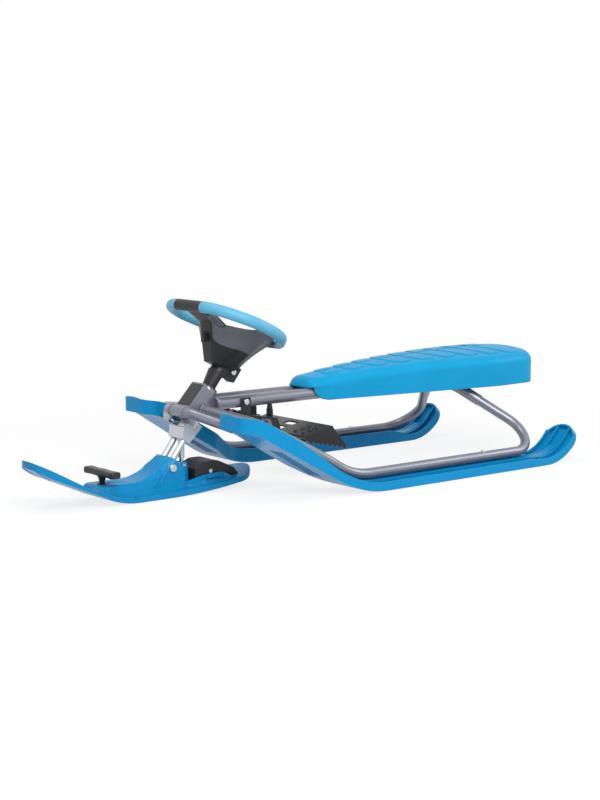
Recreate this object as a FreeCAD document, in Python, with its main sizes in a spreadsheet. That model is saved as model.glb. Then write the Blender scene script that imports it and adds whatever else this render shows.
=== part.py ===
import FreeCAD, Part
import math
import os
from types import SimpleNamespace

import Sketcher
from FreeCAD import Placement, Rotation, Vector

# Steering sled: two moulded runners under a bent tube frame with a seat, and a third ski in
# front that a wheel steers through a leaning column. Millimetres and degrees.
# X points forward, Y to the rider's left, Z up; the ground is Z = 0 and X = 0 is mid-length.

doc = FreeCAD.newDocument("steering_sled")

# Driving sizes: cell name and value
SIZES = (
    # Runners: tray section, rising foot rest in front, turned-up paddle at the tail
    ("gauge", 410), ("runner_width", 80), ("runner_floor", 5), ("runner_wall", 4), ("outer_wall", 17),
    ("front_wall", 28), ("rise_start", -28), ("rise_radius", 220), ("rise_angle", 30.5),
    ("tip_bend", 250), ("tip_angle", 8), ("tip_radius", 60), ("tip_front", 277), ("tip_corner", 26),
    ("foot_inner", 108), ("foot_outer", 200), ("foot_start", 112), ("tread_count", 5), ("tread_rise", 2),
    ("tail_start", -466), ("tail_radius", 110), ("tail_angle", 48), ("tail_blade", 35), ("tail_round", 39),
    ("tail_wall", 14), ("tail_ease", 60), ("bed_width", 22), ("bed_height", 19),
    ("groove_width", 8), ("groove_depth", 2), ("recess_length", 96), ("recess_width", 38),
    # Tube frame
    ("rail_od", 20), ("tube_wall", 1.5), ("spine_offset", 26), ("spine_height", 163), ("spine_front", 212),
    ("leg_top", -385), ("leg_corner", -520), ("leg_radius", 60), ("spine_radius", 75), ("leg_joint", 85),
    ("leg_overlap", 25), ("rail_sweep", 150), ("rail_ease", 90), ("rail_bend", 36), ("rail_turn", 210),
    ("rail_turn_y", 152), ("rail_end_x", 238), ("rail_end_z", 154), ("arch_front", 280),
    ("arch_height", 153), ("arch_half", 34), ("arch_bend", 60), ("rivet_x", -322),
    ("rivet_od", 5), ("rivet_head", 11),
    # Steering head and fork, measured up the leaning axis from the ski pivot
    ("lean", 37.6), ("pivot_x", 316), ("pivot_z", 52), ("column_od", 22), ("bush_wall", 2.5),
    ("bush_flange", 3), ("head_wall", 4.5), ("head_low", 110), ("head_high", 172), ("run_gap", 0.3),
    ("cheek_sheet", 2.5), ("stay_od", 12), ("stay_offset", 15), ("crown_low", 58), ("crown_high", 88),
    ("crown_sheet", 2.5), ("crown_foot", 9), ("crown_nose", 20), ("crown_collar", 16),
    ("column_low", 79), ("column_high", 240), ("stop_width", 14),
    # Front ski, its winder and its tow handle
    ("ski_front", 596), ("ski_back", 125), ("ski_half", 50), ("ski_base", 10), ("ski_up_start", 400),
    ("ski_up_radius", 180), ("ski_up_angle", 23), ("ski_rocker_start", 340), ("ski_rocker_radius", 1150),
    ("ski_rim", 20), ("hull_half", 31), ("hull_wall", 4), ("deck_height", 33), ("pod_height", 71),
    ("prow_low", 378), ("prow_mid", 345), ("prow_top", 326), ("prow_half", 12), ("pod_rear", 288),
    ("bolt_od", 8), ("bolt_head", 15), ("fit_gap", 0.1), ("strut_x", 275), ("strut_od", 12), ("rod_od", 8),
    ("strut_pin_z", 50), ("strut_pin_od", 6), ("rod_slack", 0.7), ("winder_front", 262),
    ("winder_back", 158), ("winder_top", 56), ("winder_wall", 2.5), ("spool_x", 226), ("spool_z", 36),
    ("spool_radius", 15.5), ("spool_half", 17), ("spool_flange", 2.5), ("axle_od", 8),
    ("handle_x", 451), ("handle_z", 54), ("handle_length", 100), ("handle_od", 17), ("stem_od", 11),
    # Seat
    ("seat_front", -6), ("seat_back", -596), ("seat_bottom", 150), ("seat_nose_half", 47),
    ("seat_rear_half", 106), ("seat_nose_top", 193), ("seat_top", 221), ("seat_wall", 5), ("seat_edge", 22),
    ("seat_crown", 15), ("pad_count", 9), ("pad_rise", 2), ("bridge_sheet", 3), ("bridge_length", 40),
    ("screw_od", 5), ("screw_step", 11),
    # Wheel, in its own plane tilted to the rider
    ("wheel_x", 148), ("wheel_z", 305), ("wheel_tilt", 23), ("rim_long", 112), ("rim_back", 96),
    ("rim_half", 116), ("rim_front_half", 38), ("rim_rear_half", 14), ("rim_height", 17), ("rim_width", 15),
    ("grip_skin", 2.5), ("hull_flare", 16), ("hull_depth", 84), ("hull_sheet", 4), ("hull_half_width", 90),
    ("hub_low", 208), ("hub_high", 262), ("clamp_od", 6),
    # Brake
    ("hinge_x", 152), ("hinge_z", 138), ("hinge_od", 8), ("ear_sheet", 3), ("ear_width", 22),
    ("pedal_half", 105), ("pedal_back", -10), ("pedal_back_z", 106), ("pedal_front", 66),
    ("pedal_front_z", 93), ("brake_sheet", 3), ("claw_back", -51), ("claw_low", 59), ("claw_front", 45),
    ("claw_front_z", 79), ("tooth_count", 8), ("tooth_depth", 6), ("buffer_x", 84), ("buffer_height", 10),
    ("spring_wire", 2), ("spring_turns", 5),
)

sheet = doc.addObject("Spreadsheet::Sheet", "Sizes")
for row, (name, value) in enumerate(SIZES, start=1):
    sheet.set("A%d" % row, name)
    sheet.set("B%d" % row, str(value))
    sheet.setAlias("B%d" % row, name)
doc.recompute()
s = SimpleNamespace(**{name: float(sheet.get(name)) for name, value in SIZES})

UP = Vector(0, 0, 1)
LEFT = Vector(0, 1, 0)
FORWARD = Vector(1, 0, 0)
SIDES = (("left", 1), ("right", -1))
FAR = 500

# Sizes that follow from the driving ones
spine_od = s.rail_od + 2 * s.tube_wall
rail_height = s.bed_height + s.rail_od / 2
half_gauge = s.gauge / 2
lean = math.radians(s.lean)
bush_od = s.column_od + 2 * s.bush_wall
head_od = bush_od + 2 * s.head_wall
axis_up = Vector(-math.sin(lean), 0, math.cos(lean))
axis_out = Vector(math.cos(lean), 0, math.sin(lean))
pivot = Vector(s.pivot_x, 0, s.pivot_z)
steer_place = Placement(pivot, Rotation(LEFT, -s.lean))
wheel_place = Placement(Vector(s.wheel_x, 0, s.wheel_z), Rotation(LEFT, -s.wheel_tilt))


def on_axis(along, forward=0):
    """Point of the steering axis, a distance up from the pivot and forward of it."""
    return pivot + axis_up * along + axis_out * forward


def to_xz(points):
    return [Vector(x, 0, z) for x, z in points]


def to_xy(points, height=0):
    return [Vector(x, y, height) for x, y in points]


def rounded(points, radii, closed=False):
    """Wire of straight runs joined by tangent arcs, one radius for each corner."""
    count = len(points)
    corners = []
    for i, point in enumerate(points):
        if not closed and i in (0, count - 1):
            corners.append((point, None, point))
            continue
        before = (points[i - 1] - point).normalize()
        after = (points[(i + 1) % count] - point).normalize()
        half = before.getAngle(after) / 2
        radius = radii[i]
        reach = radius / math.tan(half)
        middle = point + (before + after).normalize() * (radius / math.sin(half) - radius)
        corners.append((point + before * reach, middle, point + after * reach))
    edges = []
    for i, (start, middle, end) in enumerate(corners):
        if middle is not None:
            edges.append(Part.Arc(start, middle, end).toShape())
        if closed or i < count - 1:
            following = corners[(i + 1) % count][0]
            if end.distanceToPoint(following) > 1e-6:
                edges.append(Part.LineSegment(end, following).toShape())
    return Part.Wire(edges)


def prism(wire, direction):
    return Part.Face(wire).extrude(direction)


def slab(points, low, high, radii=None):
    """Side-view outline (x, z) extruded from one Y to another."""
    corners = to_xz(points)
    wire = rounded(corners, radii, True) if radii else Part.makePolygon(corners + corners[:1])
    wire.translate(Vector(0, low, 0))
    return prism(wire, Vector(0, high - low, 0))


def cylinder(radius, start, end):
    return Part.makeCylinder(radius, start.distanceToPoint(end), start, end - start)


def across(radius, centre, half):
    """Cylinder across the sled, centred on a point."""
    return cylinder(radius, centre - LEFT * half, centre + LEFT * half)


def fuse(shapes):
    whole = shapes[0]
    for shape in shapes[1:]:
        whole = whole.fuse(shape)
    return whole


def mirrored(shape):
    return shape.mirror(Vector(0, 0, 0), LEFT)


def piece(label, shape):
    """One sub-part whose shape comes from the values of the sheet."""
    place = shape.Placement
    feature = doc.addObject("Part::Feature", label)
    feature.Label = label
    feature.Shape = shape
    feature.Placement = place
    return feature


def pair(label, shape):
    """A left piece and its mirror image on the right."""
    piece(label + "_left", shape)
    piece(label + "_right", mirrored(shape))


def bound(kind, name, **expressions):
    """A primitive whose properties are bound to cells of the sheet."""
    item = doc.addObject(kind, name)
    for prop, expression in expressions.items():
        item.setExpression(prop, expression)
    return item


def ring(label, outer, inner, length, place):
    """A straight tube or bush: two cylinders bound to the sheet, one cut from the other."""
    base = bound("Part::Cylinder", label + "_outside", Radius=outer, Height=length)
    tool = bound("Part::Cylinder", label + "_bore", Radius=inner, Height=length)
    cut = doc.addObject("Part::Cut", label)
    cut.Label = label
    cut.Base = base
    cut.Tool = tool
    cut.Placement = place
    return cut


def side_sketch(body, label):
    """A sketch on the side plane of a body."""
    sketch = body.newObject("Sketcher::SketchObject", label)
    side = [part for part in body.Origin.OriginFeatures if part.Role == "XZ_Plane"][0]
    sketch.AttachmentSupport = [(side, "")]
    sketch.MapMode = "FlatFace"
    return sketch


def hold(sketch, geometry, point, start, x, z):
    """Binds a point of the sketch to two expressions of the sheet."""
    for kind, value, expression in (("DistanceX", start.x, x), ("DistanceY", start.y, z)):
        index = sketch.addConstraint(Sketcher.Constraint(kind, -1, 1, geometry, point, value))
        sketch.setExpression("Constraints[%d]" % index, expression)


def plate(label, corners, thickness, shift):
    """Flat plate standing along X: a sketch bound corner by corner, padded to the left."""
    body = doc.addObject("PartDesign::Body", label)
    body.Label = label
    sketch = side_sketch(body, label + "_outline")
    count = len(corners)
    turns = [2 * math.pi * i / count for i in range(count)]
    start = [Vector(math.cos(turn), math.sin(turn), 0) * FAR for turn in turns]
    for i in range(count):
        sketch.addGeometry(Part.LineSegment(start[i], start[(i + 1) % count]), False)
    for i in range(count):
        sketch.addConstraint(Sketcher.Constraint("Coincident", i, 2, (i + 1) % count, 1))
    for i, (x, z) in enumerate(corners):
        hold(sketch, i, 1, start[i], x, z)
    pad = body.newObject("PartDesign::Pad", label + "_sheet")
    pad.Profile = sketch
    pad.Reversed = True
    pad.setExpression("Length", thickness)
    body.setExpression("Placement.Base.y", shift)
    return body


def drill(body, label, x, z, diameter):
    """Round hole through a plate, bound to the sheet."""
    sketch = side_sketch(body, label)
    start = Vector(s.hinge_x, s.hinge_z, 0)
    sketch.addGeometry(Part.Circle(start, UP, s.hinge_od), False)
    hold(sketch, 0, 3, start, x, z)
    index = sketch.addConstraint(Sketcher.Constraint("Diameter", 0, 2 * s.hinge_od))
    sketch.setExpression("Constraints[%d]" % index, diameter)
    pocket = body.newObject("PartDesign::Pocket", label + "_cut")
    pocket.Profile = sketch
    pocket.Type = "ThroughAll"
    pocket.SideType = "Symmetric"
    return pocket


def round_bar(points, radii, diameter):
    """Solid round bar along straight runs and bends."""
    path = rounded(points, radii)
    first = path.Edges[0]
    section = Part.makeCircle(diameter / 2, points[0], first.tangentAt(first.FirstParameter))
    return path.makePipeShell([Part.Wire(section)], True, False)


def tube(points, radii, outer, wall):
    """Hollow tube along straight runs and bends; open at both ends."""
    return round_bar(points, radii, outer).cut(round_bar(points, radii, outer - 2 * wall))


def bolt(head_centre, direction, shank_od, length, head_od, head_height):
    """Round-headed bolt: the head sits outside, the shank runs along the direction."""
    along = Vector(direction).normalize()
    head = cylinder(head_od / 2, head_centre - along * head_height, head_centre)
    rims = [edge for edge in head.Edges if edge.Closed]
    outer_rim = max(rims, key=lambda edge: (edge.CenterOfMass - head_centre).Length)
    head = head.makeFillet(head_height * 0.45, [outer_rim])
    return fuse([head, cylinder(shank_od / 2, head_centre, head_centre + along * length)])


# Runner underside: a level run, an arc and a straight rise to a flattened tip, and a turned-up tail
slope = math.radians(s.rise_angle)
tip_slope = math.radians(s.tip_angle)
tail = math.radians(s.tail_angle)
tail_along = Vector(-math.cos(tail), 0, math.sin(tail))
rise_foot = s.rise_start + s.rise_radius * math.tan(slope / 2)
ramp_back = s.rise_start + s.rise_radius * math.sin(slope)
inner_edge = half_gauge - s.runner_width / 2
outer_edge = half_gauge + s.runner_width / 2
taper_start = s.foot_start - s.runner_width
wall_clear = s.tail_radius - 2


def surface_height(x):
    """Height of the underside at a place on the straight rise or the tip."""
    rise = (min(x, s.tip_bend) - rise_foot) * math.tan(slope)
    return rise + max(0, x - s.tip_bend) * math.tan(tip_slope)


def runner_line(lift):
    """Wire, tail to tip, that keeps one distance above the running surface."""
    tail_reach = (s.tail_radius - lift) * math.tan(tail / 2)
    tail_bend = Vector(s.tail_start - tail_reach, 0, lift)
    tail_end = tail_bend + tail_along * (tail_reach + s.tail_blade)
    rise_bend = Vector(s.rise_start + (s.rise_radius - lift) * math.tan(slope / 2), 0, lift)
    middle = (slope + tip_slope) / 2
    out = Vector(-math.sin(middle), 0, math.cos(middle)) * (lift / math.cos((slope - tip_slope) / 2))
    tip_bend = Vector(s.tip_bend, 0, surface_height(s.tip_bend)) + out
    tip_run = Vector(math.cos(tip_slope), 0, math.sin(tip_slope))
    tip_end = tip_bend + tip_run * (s.tip_front + s.tip_corner - s.tip_bend)
    points = [tail_end, tail_bend, rise_bend, tip_bend, tip_end]
    return points, rounded(points, [0, s.tail_radius - lift, s.rise_radius - lift, s.tip_radius + lift, 0])


def runner_layer(low, high, near=0, far=2 * s.gauge):
    """All that lies between two distances above the running surface, from one Y to another."""
    bottom, lower = runner_line(low)
    top, upper = runner_line(high)
    ends = [Part.LineSegment(bottom[i], top[i]).toShape() for i in (0, -1)]
    wire = Part.Wire(Part.__sortEdges__(lower.Edges + upper.Edges + ends))
    wire.translate(Vector(0, near, 0))
    return prism(wire, Vector(0, far - near, 0))


def stretch(back, front, near=0, far=2 * s.gauge):
    """Upright box over a stretch of the sled."""
    return Part.makeBox(front - back, far - near, 2 * FAR, Vector(back, near, -FAR))


def runner_outline(inset):
    """Plan of the left runner from behind its tail to the tip, drawn in by a wall where asked."""
    corners = [(s.tail_start - s.gauge, inner_edge + inset), (s.tail_start - s.gauge, outer_edge - inset),
               (taper_start, outer_edge - inset), (s.tip_front - inset, s.foot_outer - inset),
               (s.tip_front - inset, s.foot_inner + inset), (s.foot_start, s.foot_inner + inset),
               (taper_start, inner_edge + inset)]
    tip = s.tip_corner - inset
    outside, waist, inside = 1.5 * s.runner_width, 0.375 * s.runner_width, 0.75 * s.runner_width
    wire = rounded(to_xy(corners, -FAR), [1, 1, outside, tip, tip, waist, inside], True)
    return prism(wire, UP * 2 * FAR)


def tail_mask(inset):
    """Everything ahead of the tail, and the round-ended blade of the tail itself."""
    root = Vector(s.tail_start - s.tail_radius * math.sin(tail), 0, s.tail_radius * (1 - math.cos(tail)))
    blade_out = Vector(math.sin(tail), 0, math.cos(tail))
    end = root + tail_along * (s.tail_blade - inset) - blade_out * s.tail_radius
    near = LEFT * (inner_edge + inset)
    far = LEFT * (outer_edge - inset)
    start = root - (blade_out + tail_along) * s.tail_radius
    corner = s.tail_round - inset
    outline = rounded([start + near, end + near, end + far, start + far], [1, corner, corner, 1], True)
    return prism(outline, blade_out * 2 * s.tail_radius).fuse(stretch(root.x, FAR))


def wall_trims():
    """What comes off the walls: low at the tail, eased up, low outside, high round the foot rest."""
    eased = s.tail_start + s.tail_ease
    ramp_front = ramp_back + s.runner_width
    low = surface_height(ramp_back) + s.outer_wall / math.cos(slope)
    high = surface_height(ramp_front) + s.front_wall / math.cos(slope)
    over_ramp = [(ramp_back, low), (ramp_front, high), (ramp_front, FAR), (ramp_back, FAR)]
    trims = [runner_layer(s.tail_wall, wall_clear).common(stretch(-2 * FAR, s.tail_start)),
             runner_layer(s.outer_wall, wall_clear).common(stretch(eased, ramp_back, half_gauge)),
             slab(over_ramp, half_gauge, s.gauge)]
    for near, far, wall in ((half_gauge, s.gauge, s.outer_wall), (0, half_gauge, s.front_wall)):
        over_tail = [(s.tail_start, s.tail_wall), (eased, wall), (eased, FAR), (s.tail_start, FAR)]
        trims.append(slab(over_tail, near, far))
    return trims


def runner(tube_room):
    """Left runner: tray with trimmed walls, tube bed, door for the tube, ribs, treads and grooves."""
    whole = runner_layer(0, s.front_wall).common(runner_outline(0)).common(tail_mask(0))
    hollow = runner_layer(s.runner_floor, wall_clear).common(runner_outline(s.runner_wall))
    hollow = hollow.common(tail_mask(s.runner_wall))
    bed = runner_layer(0, s.bed_height, half_gauge - s.bed_width / 2, half_gauge + s.bed_width / 2)
    tray = whole.cut(hollow.cut(bed.common(stretch(s.leg_corner, s.foot_start - s.bed_width))))
    for trim in wall_trims():
        tray = tray.cut(trim)
    door_half = 1.2 * s.rail_od
    door = stretch(s.rail_turn - door_half, s.rail_turn + door_half, 0, s.foot_inner + 2 * s.runner_wall)
    tray = tray.cut(runner_layer(s.runner_floor, wall_clear).common(door))
    ribs = []
    for side in (-1, 1):
        near = half_gauge + side * s.runner_width / 5 - s.runner_wall / 2
        rib = runner_layer(s.runner_floor / 2, s.tail_wall, near, near + s.runner_wall)
        ribs.append(rib.common(stretch(-2 * FAR, s.tail_start)).common(tail_mask(s.runner_wall / 2)))
    tread_pitch = (s.tip_front - s.foot_start - s.tip_corner) / s.tread_count
    tread_low, tread_high = s.foot_inner + 4 * s.runner_wall, s.foot_outer - 4 * s.runner_wall
    tread_layer = runner_layer(s.runner_floor / 2, s.runner_floor + s.tread_rise, tread_low, tread_high)
    for i in range(int(s.tread_count)):
        back = s.foot_start + s.runner_wall + i * tread_pitch
        ribs.append(tread_layer.common(stretch(back, back + tread_pitch / 3)))
    for rib in ribs:
        tray = tray.fuse(rib)
    grooves = []
    for place in (-1, 0, 1):
        near = half_gauge + (2 * place - 0.5) * s.groove_width
        groove = runner_layer(-s.groove_depth, s.groove_depth, near, near + s.groove_width)
        grooves.append(groove.common(stretch(s.tail_start + s.tail_ease / 3, taper_start)))
    recess_near = (s.foot_inner + s.foot_outer + s.bed_width - s.recess_width) / 2
    strip = (s.recess_width - 2 * s.runner_wall) / 3
    for i in range(3):
        near = recess_near + i * (strip + s.runner_wall)
        pocket = runner_layer(-s.groove_depth, s.groove_depth, near, near + strip)
        grooves.append(pocket.common(stretch(ramp_back, ramp_back + s.recess_length)))
    for groove in grooves:
        tray = tray.cut(groove)
    return tray.cut(tube_room).removeSplitter()



# Line of the lower frame tube: up the leg, round the corner, along the runner bed and in to the head
leg_low = Vector(s.leg_corner, half_gauge, rail_height)
leg_high = Vector(s.leg_top, s.spine_offset, s.spine_height)
leg_run = (leg_low - leg_high).normalize()
cheek_out = head_od / 2 + s.cheek_sheet
rise_x = s.rise_start + (s.rise_radius - rail_height) * math.tan(slope / 2)


def over_rise(x, y):
    """Point of the rail's line above the straight rise of the runner."""
    return Vector(x, y, rail_height + (x - rise_x) * math.tan(slope))


rail_path = [leg_high + leg_run * (s.leg_joint - s.leg_overlap), leg_low, over_rise(rise_x, half_gauge),
             over_rise(s.foot_start - s.rail_od, half_gauge), over_rise(s.rail_turn, s.rail_turn_y),
             Vector(s.rail_end_x, cheek_out - s.rail_od / 2, s.rail_end_z)]
rail_radii = [0, s.leg_radius, s.rail_sweep, s.rail_ease, s.rail_bend, 0]
runner_shape = runner(round_bar(rail_path, rail_radii, s.rail_od + 2 * s.run_gap))
pair("runner", runner_shape)

# Lower frame tube of each side, on its line above the runner
rail = tube(rail_path, rail_radii, s.rail_od, s.tube_wall)
rivet_top = Vector(s.rivet_x, half_gauge, rail_height + s.rail_od / 2)
rivet_hole = cylinder(s.rivet_od / 2, rivet_top + UP, rivet_top - UP * (s.rail_od + s.bed_height / 2))
head_width = stretch(s.spine_front - s.rail_od, FAR, -cheek_out, cheek_out)
pair("rail_tube", rail.cut(rivet_hole).cut(head_width))

# Upper frame tube: level under the seat, then splayed down over the top of the leg
spine_head = Vector(s.spine_front, s.spine_offset, s.spine_height)
spine_path = [spine_head, leg_high, leg_high + leg_run * s.leg_joint]
ear_bolt_at = Vector(s.hinge_x, 0, s.spine_height)
ear_bolt_od = 0.75 * s.hinge_od
spine = tube(spine_path, [0, s.spine_radius, 0], spine_od, s.tube_wall)
pair("spine_tube", spine.cut(across(ear_bolt_od / 2, ear_bolt_at, s.gauge)))

# Front arch: one bent tube across the front of the head, butted against the runners' inner walls
arch_back = s.tip_front - s.tip_corner - s.rail_od
arch_foot = Vector(arch_back, s.foot_inner - s.run_gap, surface_height(arch_back) + s.rail_od / 2)
arch_knee = [arch_foot, Vector(s.arch_front, s.arch_half, s.arch_height)]
arch_path = arch_knee + [Vector(p.x, -p.y, p.z) for p in reversed(arch_knee)]
arch_radii = [0, s.arch_bend, s.arch_bend, 0]
front_arch = tube(arch_path, arch_radii, s.rail_od, s.tube_wall)
piece("front_arch", front_arch.cut(runner_shape).cut(mirrored(runner_shape)))

# Blind rivets: rail to runner bed, the head formed to the tube
rivet_crown = 0.4 * s.rivet_od
rivets = []
for label, side in SIDES:
    top = Vector(s.rivet_x, side * half_gauge, rail_height + s.rail_od / 2)
    tube_centre = top - UP * s.rail_od / 2
    reach = FORWARD * s.rivet_head
    saddle = cylinder(s.rail_od / 2, tube_centre - reach, tube_centre + reach)
    head = cylinder(s.rivet_head / 2, top - UP * rivet_crown, top + UP * rivet_crown)
    rim = max((edge for edge in head.Edges if edge.Closed), key=lambda edge: edge.CenterOfMass.z)
    head = head.makeFillet(0.75 * rivet_crown, [rim])
    rivets.append(head.cut(saddle).fuse(cylinder(s.rivet_od / 2, top + UP, top - UP * 1.2 * s.rivet_od)))
piece("rail_rivets", Part.makeCompound(rivets))

# Steering head: bearing tube, two flanged bushes and the folded bracket that joins it to the frame
bore = "Sizes.column_od / 2 + Sizes.bush_wall"
ring("head_tube", bore + " + Sizes.head_wall", bore, "Sizes.head_high - Sizes.head_low",
     Placement(on_axis(s.head_low), steer_place.Rotation))


def bush(label, low, up):
    """Flanged plastic bearing, its flange outside the head tube."""
    along = axis_up * up
    start = on_axis(low)
    reach = (s.head_high - s.head_low) * 0.3
    body = cylinder(bush_od / 2, start, start + along * reach)
    flange = cylinder(head_od / 2 - 1, start - along * s.bush_flange, start)
    hole = cylinder(s.column_od / 2 + s.fit_gap, start - along * 2 * s.bush_flange, start + along * 2 * reach)
    piece(label, fuse([body, flange]).cut(hole))


bush("lower_bush", s.head_low, 1)
bush("upper_bush", s.head_high, -1)

plate_top = on_axis(s.head_high - 2, head_od / 2 + 8)
arch_centre = Vector(s.arch_front, 0, s.arch_height)
plate_low = arch_centre + (axis_up - axis_out * 0.2).normalize() * (s.rail_od / 2)
front_run = (plate_low - plate_top).normalize()
front_out = Vector(-front_run.z, 0, front_run.x)
cheek = [plate_top, plate_low, Vector(s.arch_front - s.rail_od, 0, s.rail_end_z - 0.4 * s.rail_od),
         Vector(s.rail_end_x - 0.6 * s.rail_od, 0, s.rail_end_z - 0.6 * s.rail_od),
         Vector(s.spine_front, 0, s.spine_height - spine_od / 2),
         Vector(s.spine_front, 0, s.spine_height + spine_od / 2 - s.cheek_sheet)]
room_top = plate_top - front_out * s.cheek_sheet
room_low = plate_low - front_out * s.cheek_sheet
room = [room_top - (front_run + FORWARD) * FAR, room_top, room_low, Vector(room_low.x, 0, -FAR),
        Vector(-FAR, 0, -FAR)]
head_bracket = slab([(p.x, p.z) for p in cheek], -cheek_out, cheek_out)
head_bracket = head_bracket.cut(slab([(p.x, p.z) for p in room], -head_od / 2, head_od / 2))
piece("head_bracket", head_bracket.cut(round_bar(arch_path, arch_radii, s.rail_od)))

cover_sheet = 0.6 * s.cheek_sheet
cover_top = plate_top + front_run * 1.6 * s.cheek_sheet
cover_low = plate_low - front_run * 2.4 * s.cheek_sheet
cover = [cover_top, cover_low, cover_low + front_out * cover_sheet, cover_top + front_out * cover_sheet]
cover_half = cheek_out - 0.8 * s.cheek_sheet
piece("head_front_plate", slab([(p.x, p.z) for p in cover], -cover_half, cover_half))

# Column, crown and fork: what turns with the wheel
ring("steering_column", "Sizes.column_od / 2", "Sizes.column_od / 2 - Sizes.tube_wall",
     "Sizes.column_high - Sizes.column_low", Placement(on_axis(s.column_low), steer_place.Rotation))


def steer_shape(shape):
    """Shape drawn upright about the steering axis, set in its leaning place."""
    placed = shape.copy()
    placed.Placement = steer_place.multiply(placed.Placement)
    return placed


crown_half = s.stay_offset + s.stay_od / 2 + s.crown_sheet
crown_in = crown_half - s.crown_sheet
crown_shoulder = s.crown_high - 0.4 * (s.crown_high - s.crown_low)
crown_side = [(-s.crown_foot, s.crown_low), (s.crown_foot, s.crown_low), (s.crown_nose, crown_shoulder),
              (0.8 * s.crown_nose, s.crown_high), (-0.7 * s.crown_nose, s.crown_high)]
web_low = s.column_low - s.bush_flange
open_back = -2 * s.crown_nose
front_in = s.crown_nose - s.crown_sheet
foot_in = s.crown_foot - s.crown_sheet
under_web = [(open_back, 0), (foot_in, 0), (foot_in, s.crown_low), (front_in, crown_shoulder),
             (front_in, web_low), (open_back, web_low)]
over_web = [(open_back, s.column_low), (-open_back, s.column_low), (-open_back, s.crown_high - s.crown_sheet),
            (open_back, s.crown_high - s.crown_sheet)]
crown = slab(crown_side, -crown_half, crown_half)
crown = crown.cut(slab(under_web, -crown_in, crown_in)).cut(slab(over_web, -crown_in, crown_in))
collar_top = s.head_low - s.bush_flange - s.run_gap
collar = Part.makeCylinder(s.crown_collar, collar_top - s.column_low, Vector(0, 0, s.column_low))
column_room = Part.makeCylinder(s.column_od / 2, s.column_high, Vector(0, 0, s.column_low))
piece("fork_crown", steer_shape(fuse([crown, collar]).cut(column_room)))
stop_back = -s.crown_collar - 0.7 * s.stop_width
stop_corner = Vector(stop_back, -s.stop_width / 2, collar_top - s.stop_width)
stop_block = Part.makeBox(s.stop_width, s.stop_width, s.stop_width - 2, stop_corner)
piece("steering_stop", steer_shape(stop_block.cut(collar)))

stay_foot = s.stay_od * 0.9
for label, side in SIDES:
    stay = Part.makeCylinder(s.stay_od / 2, web_low + stay_foot, Vector(0, side * s.stay_offset, -stay_foot))
    hole = Part.makeCylinder(s.stay_od / 2 - s.tube_wall, web_low, Vector(0, side * s.stay_offset, stay_foot))
    eye = across(s.bolt_od / 2 + s.fit_gap, Vector(0, 0, 0), half_gauge)
    piece("fork_stay_" + label, steer_shape(stay.cut(hole).cut(eye)))

# Suspension strut: a sleeve on the crown and a rod that the ski pushes up into it
strut_pin_at = Vector(s.strut_x, 0, s.strut_pin_z)
strut_foot = Vector(s.strut_x, 0, s.strut_pin_z + 1.75 * s.rod_od)
web_centre = on_axis(web_low)
rod_top = Vector(s.strut_x, 0, web_centre.z - s.strut_od)
sleeve = cylinder(s.strut_od / 2, strut_foot, Vector(s.strut_x, 0, web_centre.z + 2 * s.strut_od))
below_web = Part.makeBox(2 * FAR, 2 * FAR, FAR + web_low, Vector(-FAR, -FAR, -FAR))
sleeve = sleeve.common(steer_shape(below_web))
sleeve_bore = cylinder(s.rod_od / 2 + s.fit_gap, strut_foot - UP, rod_top + UP * s.strut_od / 2)
piece("strut_sleeve", sleeve.cut(sleeve_bore))
rod_eye = across(s.strut_pin_od / 2 + 3, strut_pin_at, s.rod_od / 2)
rod = fuse([cylinder(s.rod_od / 2, strut_pin_at, rod_top), rod_eye])
piece("strut_rod", rod.cut(across(s.strut_pin_od / 2 + s.rod_slack, strut_pin_at, s.rod_od)))

# Front ski: rockered base with a turned-up tip, hull with the pod for the fork, tray for the winder
up_angle = math.radians(s.ski_up_angle)
shaft_half = s.stay_offset + s.stay_od / 2 + 2
tray_floor = 2 * s.ski_base


def ski_line(lift):
    """Side line a fixed distance above the sole, from behind the tail to ahead of the tip."""
    up_bend = Vector(s.ski_up_start + (s.ski_up_radius - lift) * math.tan(up_angle / 2), 0, lift)
    reach = (s.ski_front + s.ski_rim - up_bend.x) / math.cos(up_angle)
    tip = up_bend + Vector(math.cos(up_angle), 0, math.sin(up_angle)) * reach
    centre = Vector(s.ski_rocker_start, 0, s.ski_rocker_radius)
    turn = math.asin((s.ski_rocker_start - s.ski_back + s.ski_rim) / s.ski_rocker_radius)
    spoke = s.ski_rocker_radius - lift
    level, middle, back = [centre - Vector(math.sin(angle), 0, math.cos(angle)) * spoke
                           for angle in (0, turn / 2, turn)]
    front = rounded([level, up_bend, tip], [0, s.ski_up_radius - lift, 0])
    return [Part.Arc(back, middle, level).toShape()] + front.Edges, back, tip


def ski_layer(low, high, half):
    """All that lies between two distances above the ski's sole."""
    lower, lower_back, lower_tip = ski_line(low)
    upper, upper_back, upper_tip = ski_line(high)
    ends = [Part.LineSegment(low, high).toShape()
            for low, high in ((lower_back, upper_back), (lower_tip, upper_tip))]
    wire = Part.Wire(Part.__sortEdges__(lower + upper + ends))
    wire.translate(Vector(0, -half, 0))
    return prism(wire, Vector(0, 2 * half, 0))


def ski_plan(inset):
    """Upright prism over the ski's plan: a round tip, nearly straight sides and a round tail."""
    half = s.ski_half - inset
    tip_half = 0.9 * half
    plan = [(s.ski_back + inset, -half), (s.ski_up_start, -half), (s.ski_front - inset, -tip_half)]
    plan += [(x, -y) for x, y in reversed(plan)]
    radii = [0.9 * half, 2 * FAR, 0.95 * tip_half]
    return prism(rounded(to_xy(plan, -s.ski_base), radii + radii[::-1], True), UP * FAR)


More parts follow.
